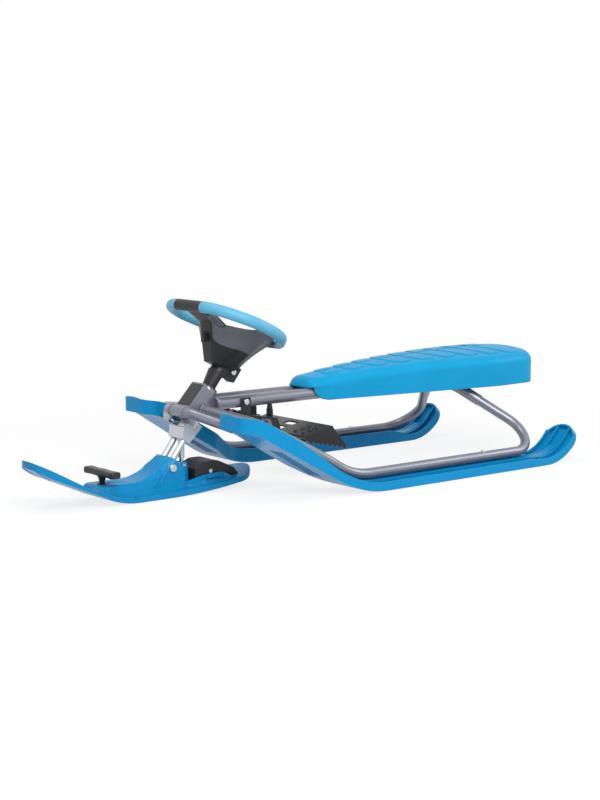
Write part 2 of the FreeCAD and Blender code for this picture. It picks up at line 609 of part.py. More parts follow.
def pod_section(height, prow, half, shoulder):
    """Plan of the pod at one height: a blunt prow that widens to the pod's sides."""
    corners = [(prow, -half), (prow, half), (shoulder, s.hull_half), (s.pod_rear, s.hull_half),
               (s.pod_rear, -s.hull_half), (shoulder, -s.hull_half)]
    edge, side, rear = s.hull_wall, 2 * s.hull_wall, s.hull_wall / 2
    return rounded(to_xy(corners, height), [edge, edge, side, rear, rear, side], True)


def pod():
    """Upper hull round the fork's feet: a prow that sweeps up in a hollow curve, sloped off behind."""
    middle = (s.deck_height + s.pod_height) / 2
    sections = [pod_section(s.ski_base / 2, s.prow_low + 6, s.hull_half - 2, s.prow_low),
                pod_section(0.75 * s.deck_height, s.prow_low, s.hull_half - 3, s.prow_low - 6),
                pod_section(middle, s.prow_mid, (s.prow_half + s.hull_half) / 2, s.pivot_x + s.hull_wall),
                pod_section(s.pod_height, s.prow_top, s.prow_half, s.prow_top - 0.7 * s.hull_half)]
    behind = [(s.pod_rear - 5, s.pod_height - 22), (s.pod_rear + 12, s.pod_height - 12),
              (s.pivot_x - 2, s.pod_height + 1), (s.pod_rear - 5, s.pod_height + 1)]
    return Part.makeLoft(sections, True, True).cut(slab(behind, -FAR, FAR))


def front_ski():
    """Moulded ski: base, turned-up rims, deck, pod round the fork's feet, side walls of the winder."""
    plan = ski_plan(0)
    over = s.ski_half + s.hull_wall
    base = ski_layer(0, s.ski_base, over).common(plan)
    deck_front = s.handle_x + s.stem_od + s.hull_wall
    edge = plan.cut(ski_plan(s.hull_wall)).common(stretch(deck_front, 2 * FAR, -FAR, FAR))
    rim = ski_layer(s.ski_base / 2, s.ski_rim, over).common(edge)
    deck_half = s.hull_half + 2
    deck_side = [(deck_front + 0.8 * s.deck_height, s.ski_base / 2), (deck_front, s.deck_height),
                 (s.pod_rear, s.deck_height), (s.pod_rear, s.ski_base / 2)]
    deck = slab(deck_side, -deck_half, deck_half, [1, 2 * s.hull_wall, 1, 1])
    wall_front = s.pod_rear + 2
    wall_side = [(wall_front, s.ski_base / 2), (wall_front, s.ski_base + 12),
                 (s.spool_x + 18, s.deck_height - 2),
                 (s.spool_x - 24, s.deck_height), (s.winder_back + 12, s.ski_base + 8),
                 (s.winder_back, s.ski_base / 2)]
    walls = slab(wall_side, -s.hull_half, s.hull_half, [1, 10, 20, 14, 8, 1])
    solid = fuse([deck, walls, pod()]).cut(ski_layer(-s.ski_half, 1, over))
    solid = fuse([solid, base, rim])
    shaft_floor = s.pivot_z - 1.8 * s.stay_od
    shaft_back = s.pod_rear - 20
    shaft = [(shaft_back, shaft_floor), (s.pivot_x + 2 * s.stay_od, shaft_floor),
             (s.pivot_x + 20, s.pivot_z - s.stay_od), (s.pivot_x - s.stay_od / 3, s.pod_height + 1),
             (shaft_back, s.pod_height + 1)]
    tray_half = s.hull_half - s.hull_wall
    tray_front = s.pod_rear + s.hull_wall
    tray_back = s.winder_back - s.deck_height
    tray = [(tray_back, tray_floor), (tray_front, tray_floor), (tray_front, FAR), (tray_back, FAR)]
    solid = solid.cut(slab(tray, -tray_half, tray_half)).cut(slab(shaft, -shaft_half, shaft_half))
    solid = solid.cut(across(s.bolt_od / 2, pivot, FAR))
    socket_floor = Vector(s.handle_x, 0, s.ski_base + 6)
    solid = solid.cut(cylinder(s.stem_od / 2 + s.run_gap, socket_floor, socket_floor + UP * FAR))
    lug_top = s.strut_pin_z + s.strut_pin_od
    lug_side = [(s.strut_x - 9, tray_floor - 1), (s.strut_x + 9, tray_floor - 1), (s.strut_x + 6, lug_top),
                (s.strut_x - 6, lug_top)]
    slot_back, slot_front = s.spool_x - 22, s.spool_x + 6
    slot_low, slot_high = tray_floor - 1, tray_floor + 4
    slot_side = [(slot_front, slot_low), (slot_back, slot_low),
                 (slot_back, slot_high), (slot_front, slot_high)]
    for side in (1, -1):
        groove = ski_layer(-1, s.groove_depth, s.groove_width / 2)
        groove.translate(LEFT * side * s.ski_half * 0.45)
        wall = side * s.hull_half
        solid = solid.cut(slab(slot_side, wall - 3, wall + 3, [2] * 4)).cut(groove)
        near, far = sorted((side * (s.rod_od / 2 + 1), side * (s.rod_od / 2 + 6)))
        solid = solid.fuse(slab(lug_side, near, far))
    return solid.cut(across(s.strut_pin_od / 2, strut_pin_at, s.ski_rim))


piece("front_ski", front_ski())

nut_length = 0.75 * s.bolt_od
bolt_length = 2 * s.hull_half + nut_length
ski_bolt = bolt(pivot + LEFT * s.hull_half, -LEFT, s.bolt_od, bolt_length, s.bolt_head, s.bolt_od / 2)
piece("ski_pivot_bolt", ski_bolt)
nut_corners = [pivot - LEFT * s.hull_half + Vector(math.cos(turn), 0, math.sin(turn)) * s.bolt_head / 2
               for turn in (math.radians(60 * i) for i in range(6))]
nut = prism(Part.makePolygon(nut_corners + nut_corners[:1]), -LEFT * nut_length)
piece("ski_pivot_nut", nut.cut(across(s.bolt_od / 2, pivot, FAR)))
spacer_in = s.stay_offset + s.stay_od / 2 + s.run_gap
spacers = []
for label, side in SIDES:
    spacer = cylinder(s.bolt_head / 2, pivot + LEFT * side * spacer_in, pivot + LEFT * side * shaft_half)
    spacers.append(spacer.cut(across(s.bolt_od / 2, pivot, FAR)))
piece("ski_pivot_spacers", Part.makeCompound(spacers))
piece("strut_pin", across(s.strut_pin_od / 2, strut_pin_at, s.rod_od / 2 + 6))

# Tow-line winder in the tray of the ski: cover, axle, spool, spring drum; the line itself is not shown
winder_half = s.hull_half - s.hull_wall - s.run_gap


def winder_block(inset, half, floor, radii):
    """Humped block of the winder's cover, drawn in by its wall where asked."""
    side = [(s.winder_front - inset, floor), (s.winder_front - inset, s.winder_top - 10 - inset / 2),
            (s.spool_x + 14, s.winder_top - inset), (s.spool_x - 14, s.winder_top - inset),
            (s.winder_back + 14 + inset / 2, s.winder_top - 18 - inset), (s.winder_back + inset, floor)]
    return slab(side, -half, half, radii)


spool_centre = Vector(s.spool_x, 0, s.spool_z)
winder = winder_block(0, winder_half, tray_floor, [1, 8, 24, 40, 16, 1])
winder_room = winder_half - s.winder_wall
winder = winder.cut(winder_block(s.winder_wall, winder_room, tray_floor - 5, [1, 6, 22, 38, 14, 1]))
piece("winder_cover", winder.cut(across(s.axle_od / 2, spool_centre, FAR)))
piece("winder_axle", across(s.axle_od / 2, spool_centre, winder_half))
spool_low = spool_centre - LEFT * s.spool_half
spool_high = spool_low + LEFT * 1.6 * s.spool_half
spool = fuse([cylinder(s.spool_radius * 0.6, spool_low, spool_high),
              cylinder(s.spool_radius, spool_low, spool_low + LEFT * s.spool_flange),
              cylinder(s.spool_radius, spool_high - LEFT * s.spool_flange, spool_high)])
piece("winder_spool", spool.cut(across(s.axle_od / 2 + s.fit_gap, spool_centre, FAR)))
drum_near = spool_high + LEFT * s.run_gap
drum_far = spool_centre + LEFT * (winder_half - s.winder_wall)
drum = cylinder(s.spool_radius - 2, drum_near, drum_far)
piece("winder_spring_drum", drum.cut(across(s.axle_od / 2, spool_centre, FAR)))

# Tow handle: moulded T-bar parked in a collar on the front deck
handle_centre = Vector(s.handle_x, 0, s.handle_z)
bar = across(s.handle_od / 2, handle_centre, s.handle_length / 2)
bar = bar.makeFillet(s.handle_od * 0.42, [edge for edge in bar.Edges if edge.Closed])
stem_low = Vector(s.handle_x, 0, s.ski_base + 6 + s.run_gap)
shoulder_low = handle_centre - UP * (s.handle_od - 1)
shoulder = Part.makeCone(s.stem_od / 2, s.handle_od / 2 + 2, s.handle_od - 3, shoulder_low)
piece("tow_handle", fuse([bar, cylinder(s.stem_od / 2, stem_low, handle_centre), shoulder]))
collar_low = Vector(s.handle_x, 0, s.deck_height)
collar_ring = cylinder(s.stem_od / 2 + 4, collar_low, collar_low + UP * 2)
stem_way = cylinder(s.stem_od / 2 + s.run_gap, collar_low - UP, collar_low + UP * 9)
piece("tow_collar", collar_ring.cut(stem_way))

# Seat: crowned shell with a wide round edge, open below over the spine tubes, with raised chevron pads
seat_length = s.seat_front - s.seat_back
shoulder_x = s.seat_front - 50
widest_x = shoulder_x - 0.68 * seat_length
bridge_height = s.spine_height + spine_od / 2
bridge_places = (("front", s.seat_front - 85), ("rear", s.seat_back + 190))
screw_places = [x + step for label, x in bridge_places for step in (-s.screw_step, s.screw_step)]


def seat_width(x):
    """Half width of the seat at a place along it."""
    share = min(1, max(0, (shoulder_x - x) / (shoulder_x - widest_x)))
    return s.seat_nose_half + (s.seat_rear_half - s.seat_nose_half) * share


def seat_plan(inset, height):
    """Upright prism over the seat's plan, drawn in by a wall where asked."""
    corners = [(s.seat_front - inset, s.seat_nose_half - 4 - inset), (shoulder_x, s.seat_nose_half - inset),
               (widest_x, s.seat_rear_half - inset), (s.seat_back + inset, s.seat_rear_half - 6 - inset)]
    corners += [(x, -y) for x, y in reversed(corners)]
    radii = [0.68 * s.seat_nose_half - inset, 150, 250, 0.5 * s.seat_rear_half - inset]
    return prism(rounded(to_xy(corners, s.seat_bottom), radii + radii[::-1], True), UP * height)


def seat_block(rise):
    """Crowned block under the seat's top surface, wider than the seat itself."""
    sections = []
    low = s.seat_bottom - 1
    middle = s.seat_front - seat_length / 2
    heights = ((s.seat_front + 5, s.seat_nose_top), (middle, s.seat_top - 2), (s.seat_back - 5, s.seat_top))
    for x, top in heights:
        half = seat_width(x) + s.seat_crown
        corner = Vector(x, half, top + rise - s.seat_crown)
        far = Vector(x, -half, top + rise - s.seat_crown)
        edges = [Part.LineSegment(Vector(x, -half, low), Vector(x, half, low)).toShape(),
                 Part.LineSegment(Vector(x, half, low), corner).toShape(),
                 Part.Arc(corner, Vector(x, 0, top + rise), far).toShape(),
                 Part.LineSegment(far, Vector(x, -half, low)).toShape()]
        sections.append(Part.Wire(edges))
    return Part.makeLoft(sections, True, False)


def seat_pads():
    """Plans of the raised pads: a row of chevrons that point forward, split on the middle line."""
    first = s.seat_front - 50
    pitch = (seat_length - 112) / s.pad_count
    length = 0.74 * pitch
    plans = []
    for i in range(int(s.pad_count)):
        x = first - i * pitch
        reach = seat_width(x) - s.seat_edge
        sweep = 0.42 * reach
        for side in (1, -1):
            near, far = 5 * side, reach * side
            pad = [(x, near), (x - length, near), (x - length - sweep, far), (x - sweep, far)]
            plans.append(rounded(to_xy(pad, s.seat_bottom), [5, 5, 9, 9], True))
    return plans


def seat_shell():
    """The shell: crowned block with its upper edge rounded, hollowed, nose opened for the tubes."""
    shell = seat_block(0).common(seat_plan(0, FAR))
    upper = [edge for edge in shell.Edges if edge.BoundBox.ZMin > s.seat_bottom + s.seat_edge / 2
             and abs(edge.tangentAt(edge.FirstParameter).z) < 0.7]
    shell = shell.makeFillet(s.seat_edge, upper)
    hollow = seat_block(-2.6 * s.seat_wall).common(seat_plan(1.8 * s.seat_wall, FAR))
    hollow.translate(-UP)
    shell = shell.cut(hollow)
    nose_back = s.seat_front - 56
    nose_side = [(nose_back, s.seat_bottom - s.seat_edge), (nose_back, s.seat_bottom + 2),
                 (nose_back + 16, bridge_height + 1), (FAR, bridge_height + 1),
                 (FAR, s.seat_bottom - s.seat_edge)]
    shell = shell.cut(slab(nose_side, -s.spine_offset - spine_od, s.spine_offset + spine_od))
    pad_layer = seat_block(s.pad_rise).cut(seat_block(-s.seat_wall / 2))
    for plan in seat_pads():
        shell = shell.fuse(prism(plan, UP * FAR).common(pad_layer))
    for x in screw_places:
        post_low = Vector(x, 0, bridge_height + s.bridge_sheet)
        post = cylinder(s.screw_od / 2 + s.seat_wall, post_low, post_low + UP * s.seat_top)
        shell = shell.fuse(post.common(seat_block(-s.seat_wall)))
        shell = shell.cut(cylinder(s.screw_od / 2, post_low - UP, post_low + UP * 1.4 * s.screw_od))
    return shell


piece("seat_shell", seat_shell())

# Seat fixing: a bridge plate across the spine tubes at each end, screwed up into posts of the shell
bridge_half = s.spine_offset + s.rail_od / 2
for label, x in bridge_places:
    corner = Vector(x - s.bridge_length / 2, -bridge_half, bridge_height)
    bridge = Part.makeBox(s.bridge_length, 2 * bridge_half, s.bridge_sheet, corner)
    for step in (-s.screw_step, s.screw_step):
        hole_low = Vector(x + step, 0, bridge_height - 1)
        bridge = bridge.cut(cylinder(s.screw_od / 2, hole_low, hole_low + UP * 2 * s.bridge_sheet))
    piece("seat_bridge_" + label, bridge)
screws = [bolt(Vector(x, 0, bridge_height), UP, s.screw_od, 1.8 * s.screw_od, 1.8 * s.screw_od, 3)
          for x in screw_places]
piece("seat_screws", Part.makeCompound(screws))

# Steering wheel: shield-shaped rim, deep hull on the hub, side panels and soft grips
rim_corner = 40
rim_points = [(s.rim_long, -s.rim_front_half - rim_corner), (s.rim_long, s.rim_front_half + rim_corner),
              (s.rim_long * 0.42, s.rim_half), (-s.rim_back * 0.36, s.rim_half * 0.93),
              (-s.rim_back, 2 * s.rim_rear_half)]
rim_points += [(x, -y) for x, y in reversed(rim_points[2:])]
rim_wire = rounded(to_xy(rim_points), [66, 66, 50, 110, 30, 30, 110, 50], True)
rim_edges = rim_wire.OrderedEdges
grip_height = s.rim_height + 2 * s.grip_skin
grip_width = s.rim_width + 2 * s.grip_skin


def rim_sweep(edges, height, width):
    """Oval bar along a run of the rim."""
    path = Part.Wire(Part.__sortEdges__(edges))
    first = path.OrderedEdges[0]
    start = path.OrderedVertexes[0].Point
    heading = first.tangentAt(first.Curve.parameter(start))
    outward = Vector(-heading.y, heading.x, 0)
    oval = Part.Ellipse(start + UP * height / 2, start + outward * width / 2, start)
    return path.makePipeShell([Part.Wire(oval.toShape())], True, False)


def middle_y(edge):
    return edge.valueAt((edge.FirstParameter + edge.LastParameter) / 2).y


def hull_section(depth, inset):
    """Plan of the hull at one depth below the rim, drawn in and lifted by a wall."""
    share = depth / s.hull_depth
    rest = 1 - share
    flare = max(0, 1 - depth / s.hull_flare)
    front = s.rim_long * (rest * (0.68 + 0.3 * flare) + share * 0.3) - inset
    back = (s.rim_back - 2) * rest ** 1.2 + 0.31 * s.rim_back * share - inset
    wide = s.hull_half_width * rest ** 0.8 + s.column_od * share - inset
    tip = s.hull_half_width * (rest * (0.2 + 0.2 * flare) + share * 0.16) - inset / 2
    corners = [(front, -tip), (front, tip), (front * 0.35, wide), (-back * 0.3, wide * 0.92)]
    corners += [(-back, tip * 0.7), (-back, -tip * 0.7)]
    corners += [(x, -y) for x, y in (corners[3], corners[2])]
    turn = 12 * (1 - 0.6 * share)
    radii = [turn, turn, 3 * turn, 4 * turn, 0.7 * turn, 0.7 * turn, 4 * turn, 3 * turn]
    return rounded(to_xy(corners, inset - depth), radii, True)


def hull_loft(inset):
    """Hull drawn in by a wall: a short flare under the rim on a deep cup."""
    flare = Part.makeLoft([hull_section(depth, inset) for depth in (s.hull_sheet, s.hull_flare)], True, True)
    depths = (s.hull_flare, 0.55 * s.hull_depth, s.hull_depth)
    cup = Part.makeLoft([hull_section(depth, inset) for depth in depths], True, False)
    return flare.fuse(cup)


core = rim_sweep(rim_edges, s.rim_height, s.rim_width)
black = [rim_sweep([edge], grip_height, grip_width) for edge in rim_edges if abs(middle_y(edge)) < 1]
hull_outside = hull_loft(0)
dip = across(0.56 * s.rim_half, Vector(0.45 * s.rim_long, 0, 0.38 * s.rim_half), half_gauge)
dip = dip.cut(stretch(-FAR, FAR, -s.rim_front_half, s.rim_front_half))
window = [(0.9 * s.rim_long, 8), (0.4 * s.rim_long, -0.6 * s.hull_depth),
          (-0.24 * s.rim_back, -0.58 * s.hull_depth), (-0.84 * s.rim_back, 8)]
panel_window = rounded(to_xz(window), [8, 28, 28, 8], True)
panel_window.translate(LEFT * s.rim_front_half / 2)
panel_skin = hull_outside.cut(hull_loft(s.hull_sheet / 2)).cut(dip)
panel = panel_skin.common(prism(panel_window, LEFT * s.gauge)).cut(fuse(black + [core]))
hook_front = 0.5 * s.rim_long
hook = slab([(hook_front - 20, -30), (hook_front + 4, -32), (hook_front + 8, -42), (hook_front + 4, -54),
             (hook_front - 1, -52), (hook_front + 1, -44), (hook_front - 24, -44)], -5, 5)
hull_shell = hull_outside.fuse(hook).cut(hull_loft(s.hull_sheet)).cut(dip).cut(panel).cut(mirrored(panel))
bowl = hull_shell.fuse(black + [core])
wheel_world = bowl.copy()
wheel_world.Placement = wheel_place
neck_low = s.head_high + s.bush_flange + s.run_gap
column_radius = s.column_od / 2
neck = Part.makeCone(column_radius + 4, column_radius + 9, s.hub_low - neck_low, Vector(0, 0, neck_low))
neck = neck.common(stretch(-1, FAR, -FAR, FAR))
boss = Part.makeCylinder(column_radius + 7, s.hub_high - s.hub_low, Vector(0, 0, s.hub_low))
clamp_half = column_radius
rear_boss = Part.makeBox(34, 2 * clamp_half, 30, Vector(-36, -clamp_half, s.hub_low + 3))
clamp_at = Vector(-s.column_od, 0, s.hub_low + 18)
clamp_at += LEFT * clamp_half
clamp = bolt(clamp_at, -LEFT, s.clamp_od, 2 * clamp_half, 2 * s.clamp_od, 0.6 * s.clamp_od)
hub = fuse([neck, boss, rear_boss])
column_bore = Part.makeCylinder(column_radius, s.column_high, Vector(0, 0, 0))
wheel_body = wheel_world.fuse(steer_shape(hub)).cut(steer_shape(column_bore)).cut(steer_shape(clamp))
piece("wheel_body", wheel_body)
piece("wheel_clamp_bolt", steer_shape(clamp))
panel.Placement = wheel_place
pair("wheel_panel", panel)
for label, side in SIDES:
    side_edges = [edge for edge in rim_edges if middle_y(edge) * side > 1]
    grip = rim_sweep(side_edges, grip_height, grip_width).cut(bowl)
    grip.Placement = wheel_place
    piece("grip_" + label, grip)

# Brake: two ears on the spine tubes, a hinge pin with its spring, and the pressed claw plate
ear_in = s.spine_offset + spine_od / 2
ear_corners = [("Sizes.hinge_x - Sizes.ear_width / 2", "Sizes.hinge_z - 9"),
               ("Sizes.hinge_x + Sizes.ear_width / 2", "Sizes.hinge_z - 9"),
               ("Sizes.hinge_x + Sizes.ear_width / 2", "Sizes.spine_height + 8"),
               ("Sizes.hinge_x - Sizes.ear_width / 2", "Sizes.spine_height + 8")]
tube_half = "(Sizes.rail_od / 2 + Sizes.tube_wall)"
for label, shift in (("left", "Sizes.spine_offset + " + tube_half),
                     ("right", "-Sizes.spine_offset - " + tube_half + " - Sizes.ear_sheet")):
    ear = plate("brake_ear_" + label, ear_corners, "Sizes.ear_sheet", shift)
    drill(ear, "brake_ear_%s_pin_hole" % label, "Sizes.hinge_x", "Sizes.hinge_z", "Sizes.hinge_od")
    bolt_label = "brake_ear_%s_bolt_hole" % label
    drill(ear, bolt_label, "Sizes.hinge_x", "Sizes.spine_height", "0.75 * Sizes.hinge_od")
hinge = Vector(s.hinge_x, 0, s.hinge_z)
piece("brake_hinge_pin", across(s.hinge_od / 2, hinge, ear_in + 2 * s.ear_sheet))
ear_bolts = []
for label, side in SIDES:
    head_at = ear_bolt_at + LEFT * side * (ear_in + s.ear_sheet)
    grip_length = spine_od + s.ear_sheet + 4
    ear_bolts.append(bolt(head_at, LEFT * -side, ear_bolt_od, grip_length, 2 * ear_bolt_od, 3.5))
piece("brake_ear_bolts", Part.makeCompound(ear_bolts))
buffer_low = s.spine_height - spine_od / 2 - s.buffer_height
pedal_tilt = Vector(s.pedal_back - s.pedal_front, 0, s.pedal_back_z - s.pedal_front_z)
pedal_normal = Vector(pedal_tilt.z, 0, -pedal_tilt.x).normalize()


def claw_side():
    """Side view of one claw: a skirt under the pedal with a row of teeth."""
    run = Vector(s.claw_front - s.claw_back, 0, s.claw_front_z - s.claw_low)
    back = Vector(s.claw_back, 0, s.claw_low)
    pedal_ends = ((s.pedal_front, s.pedal_front_z), (s.pedal_back, s.pedal_back_z))
    points = [Vector(x, 0, z + 1) for x, z in pedal_ends] + [back]
    for i in range(int(s.tooth_count)):
        points.append(back + run * ((i + 0.6) / s.tooth_count) + UP * s.tooth_depth)
        points.append(back + run * ((i + 1) / s.tooth_count))
    return [(p.x, p.z) for p in points]


def brake_plate():
    """Pressed plate: two arms with hinge eyes, the pedals, a claw on each side, bumps and windows."""
    thick = s.brake_sheet
    bend = Vector(s.pedal_front + 10, 0, s.hinge_z - 16)
    pedal = [(s.pedal_front, s.pedal_front_z), (s.pedal_back, s.pedal_back_z),
             (s.pedal_back, s.pedal_back_z + thick),
             (s.pedal_front - thick, s.pedal_front_z + thick)]
    lap = s.pedal_front - 3 * thick
    arm = [(s.hinge_x, s.hinge_z - 5), (bend.x, bend.z), (s.pedal_front, s.pedal_front_z),
           (lap, s.pedal_front_z + 0.6 * thick), (lap, s.pedal_front_z + 1.2 * thick),
           (s.pedal_front - thick, s.pedal_front_z + thick), (bend.x - thick, bend.z + thick),
           (s.hinge_x, s.hinge_z)]
    arm_slope = (s.hinge_z - 4 - bend.z) / (s.hinge_x - bend.x)
    tab_low = bend.z - 1 + (s.buffer_x - bend.x) * arm_slope
    tab_back, tab_front = s.buffer_x - 2, s.buffer_x + 2
    tab = [(tab_back, tab_low), (tab_front, tab_low), (tab_front, buffer_low), (tab_back, buffer_low)]
    claw = claw_side()
    solids = [slab(pedal, -s.pedal_half, s.pedal_half)]
    for side in (1, -1):
        near, far = sorted((side * (s.spine_offset - 8), side * (ear_in - 1)))
        eye = cylinder(s.hinge_od / 2 + 3, hinge + LEFT * near, hinge + LEFT * far)
        solids += [slab(arm, near, far), eye]
        near, far = sorted((side * (s.pedal_half - thick), side * s.pedal_half))
        solids.append(slab(claw, near, far))
        solids.append(slab(tab, side * s.spine_offset - 8, side * s.spine_offset + 8))
        for along in (0.28, 0.5, 0.72):
            for share in (0.55, 0.78):
                foot = Vector(s.pedal_front, side * share * s.pedal_half, s.pedal_front_z)
                foot += pedal_tilt * along
                bump = Part.makeCone(5.5, 3, 2 + thick / 2, foot + pedal_normal * thick / 2, pedal_normal)
                solids.append(bump)
    whole = fuse(solids)
    for along in (0.34, 0.72):
        centre = Vector(s.pedal_front, 0, s.pedal_front_z) + pedal_tilt * along
        corners = [centre + Vector(x, y, -20) for x, y in ((-9, -16), (9, -16), (9, 16), (-9, 16))]
        whole = whole.cut(prism(rounded(corners, [4] * 4, True), UP * 40))
    return whole.cut(across(s.hinge_od / 2 + s.fit_gap, hinge, FAR)).removeSplitter()


piece("brake_plate", brake_plate())

# Return spring: a close coil on the pin
coil_radius = s.hinge_od / 2 + s.run_gap + s.spring_wire / 2
coil_pitch = s.spring_wire * 1.15
coil_low = hinge - LEFT * coil_pitch * s.spring_turns / 2


def coil_point(turns):
    angle = 2 * math.pi * turns
    return coil_low + Vector(coil_radius * math.cos(angle), coil_pitch * turns, coil_radius * math.sin(angle))


coil_edges = [Part.Arc(coil_point(i / 4), coil_point((i + 0.5) / 4), coil_point((i + 1) / 4)).toShape()
              for i in range(int(4 * s.spring_turns))]
coil_heading = coil_edges[0].tangentAt(coil_edges[0].FirstParameter)
coil_start = Part.Wire(Part.makeCircle(s.spring_wire / 2, coil_point(0), coil_heading))
piece("brake_return_spring", Part.Wire(coil_edges).makePipeShell([coil_start], True, True))
buffer_rise = s.buffer_height - s.run_gap
buffers = [Part.makeCone(6, 4.5, buffer_rise, Vector(s.buffer_x, side * s.spine_offset, buffer_low))
           for label, side in SIDES]
piece("brake_buffers", Part.makeCompound(buffers))

# Every object is sound before anything is written
doc.recompute()
failed = [item.Label for item in doc.Objects if "Invalid" in item.State or "Error" in item.State]
if failed:
    raise RuntimeError("failed objects: " + ", ".join(failed))
used = set()
for item in doc.Objects:
    if item.TypeId == "Part::Cut":
        used.update((item.Base.Name, item.Tool.Name))
nodes = [item for item in doc.Objects
         if item.TypeId in ("Part::Feature", "Part::Cut", "PartDesign::Body") and item.Name not in used]
for item in nodes:
    if item.Shape.isNull() or not item.Shape.isValid() or not item.Shape.Solids:
        raise RuntimeError("bad shape: " + item.Label)
os.makedirs("parts", exist_ok=True)
for item in nodes:
    item.Shape.exportStep("parts/%s.step" % item.Label)
print(len(nodes), "sub-parts")
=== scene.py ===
import math

import bpy
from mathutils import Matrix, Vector


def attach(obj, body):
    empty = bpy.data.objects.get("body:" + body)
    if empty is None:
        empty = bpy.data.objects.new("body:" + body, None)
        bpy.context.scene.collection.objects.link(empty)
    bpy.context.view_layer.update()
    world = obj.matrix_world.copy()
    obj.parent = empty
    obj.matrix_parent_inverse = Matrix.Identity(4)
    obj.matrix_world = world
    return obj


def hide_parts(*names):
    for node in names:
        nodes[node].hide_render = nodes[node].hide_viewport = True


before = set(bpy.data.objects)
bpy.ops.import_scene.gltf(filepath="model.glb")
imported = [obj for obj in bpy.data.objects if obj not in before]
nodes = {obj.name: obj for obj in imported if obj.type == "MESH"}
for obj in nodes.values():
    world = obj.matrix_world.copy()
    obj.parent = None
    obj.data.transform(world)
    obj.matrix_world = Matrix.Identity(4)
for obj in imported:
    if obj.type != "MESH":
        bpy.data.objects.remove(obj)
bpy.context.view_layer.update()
bpy.ops.object.select_all(action="DESELECT")
scene = bpy.context.scene

# Studio: a wide pale floor under a white sky, one large soft lamp high on the camera's side
# and weaker ones above and behind. The floor is white to the camera but takes the sled's shadow.
scene.view_settings.view_transform = "Standard"
floor_drop = 0.0006
bpy.ops.mesh.primitive_plane_add(size=60, location=(0, 0, -floor_drop))
floor = bpy.context.object
floor.name = "studio_floor"
floor_paint = bpy.data.materials.new("studio_floor_paint")
floor_paint.use_nodes = True
paint_tree = floor_paint.node_tree
paint_tree.nodes.clear()
floor_matt = paint_tree.nodes.new("ShaderNodeBsdfDiffuse")
floor_matt.inputs["Color"].default_value = (0.86, 0.86, 0.87, 1)
floor_white = paint_tree.nodes.new("ShaderNodeEmission")
floor_white.inputs["Strength"].default_value = 1.0


def white_to(tree):
    """How far a ray sees the white studio: fully for the camera, mirrors and glass."""
    path = tree.nodes.new("ShaderNodeLightPath")
    clear = tree.nodes.new("ShaderNodeMath")
    clear.operation = "MAXIMUM"
    tree.links.new(path.outputs["Is Camera Ray"], clear.inputs[0])
    tree.links.new(path.outputs["Is Glossy Ray"], clear.inputs[1])
    white = tree.nodes.new("ShaderNodeMath")
    white.operation = "MAXIMUM"
    tree.links.new(clear.outputs[0], white.inputs[0])
    tree.links.new(path.outputs["Is Transmission Ray"], white.inputs[1])
    return white.outputs[0]


place = paint_tree.nodes.new("ShaderNodeTexCoord")
reach = paint_tree.nodes.new("ShaderNodeVectorMath")
reach.operation = "LENGTH"
paint_tree.links.new(place.outputs["Object"], reach.inputs[0])
clearing = paint_tree.nodes.new("ShaderNodeMapRange")
clearing.interpolation_type = "SMOOTHSTEP"
clearing.inputs["From Min"].default_value = 0.35
clearing.inputs["From Max"].default_value = 1.5
clearing.inputs["To Min"].default_value = 0.8
clearing.inputs["To Max"].default_value = 1.0
paint_tree.links.new(reach.outputs["Value"], clearing.inputs["Value"])
share = paint_tree.nodes.new("ShaderNodeMath")
share.operation = "MULTIPLY"
paint_tree.links.new(white_to(paint_tree), share.inputs[0])
paint_tree.links.new(clearing.outputs["Result"], share.inputs[1])
floor_mix = paint_tree.nodes.new("ShaderNodeMixShader")
floor_out = paint_tree.nodes.new("ShaderNodeOutputMaterial")
paint_tree.links.new(share.outputs[0], floor_mix.inputs["Fac"])
paint_tree.links.new(floor_matt.outputs[0], floor_mix.inputs[1])
paint_tree.links.new(floor_white.outputs[0], floor_mix.inputs[2])
paint_tree.links.new(floor_mix.outputs[0], floor_out.inputs["Surface"])
floor.data.materials.append(floor_paint)

sky = bpy.data.worlds.new("studio_sky")
scene.world = sky
sky.use_nodes = True
sky_tree = sky.node_tree
sky_tree.nodes.clear()
sky_light = sky_tree.nodes.new("ShaderNodeBackground")
sky_light.inputs["Color"].default_value = (0.96, 0.98, 1.0, 1)
sky_light.inputs["Strength"].default_value = 0.5
sky_white = sky_tree.nodes.new("ShaderNodeBackground")
sky_white.inputs["Color"].default_value = (1, 1, 1, 1)
sky_white.inputs["Strength"].default_value = 1.0
sky_mix = sky_tree.nodes.new("ShaderNodeMixShader")
sky_out = sky_tree.nodes.new("ShaderNodeOutputWorld")
sky_tree.links.new(white_to(sky_tree), sky_mix.inputs["Fac"])
sky_tree.links.new(sky_light.outputs[0], sky_mix.inputs[1])
sky_tree.links.new(sky_white.outputs[0], sky_mix.inputs[2])
sky_tree.links.new(sky_mix.outputs[0], sky_out.inputs["Surface"])


def soft_lamp(name, place, aim, width, watts):
    """A square soft box at a place, turned to a point of the sled."""
    bpy.ops.object.light_add(type="AREA", location=place)
    lamp = bpy.context.object
    lamp.name = name
    lamp.data.size = width
    lamp.data.energy = watts
    lamp.rotation_euler = (Vector(aim) - Vector(place)).to_track_quat("-Z", "Y").to_euler()


soft_lamp("key_lamp", place=(1.2, 2.4, 2.2), aim=(0, 0, 0.15), width=1.4, watts=80)
soft_lamp("top_lamp", place=(0.9, -0.2, 2.8), aim=(0, 0, 0.1), width=1.2, watts=22)
soft_lamp("rear_lamp", place=(-2.4, 1.4, 1.5), aim=(-0.1, 0, 0.1), width=1.2, watts=20)

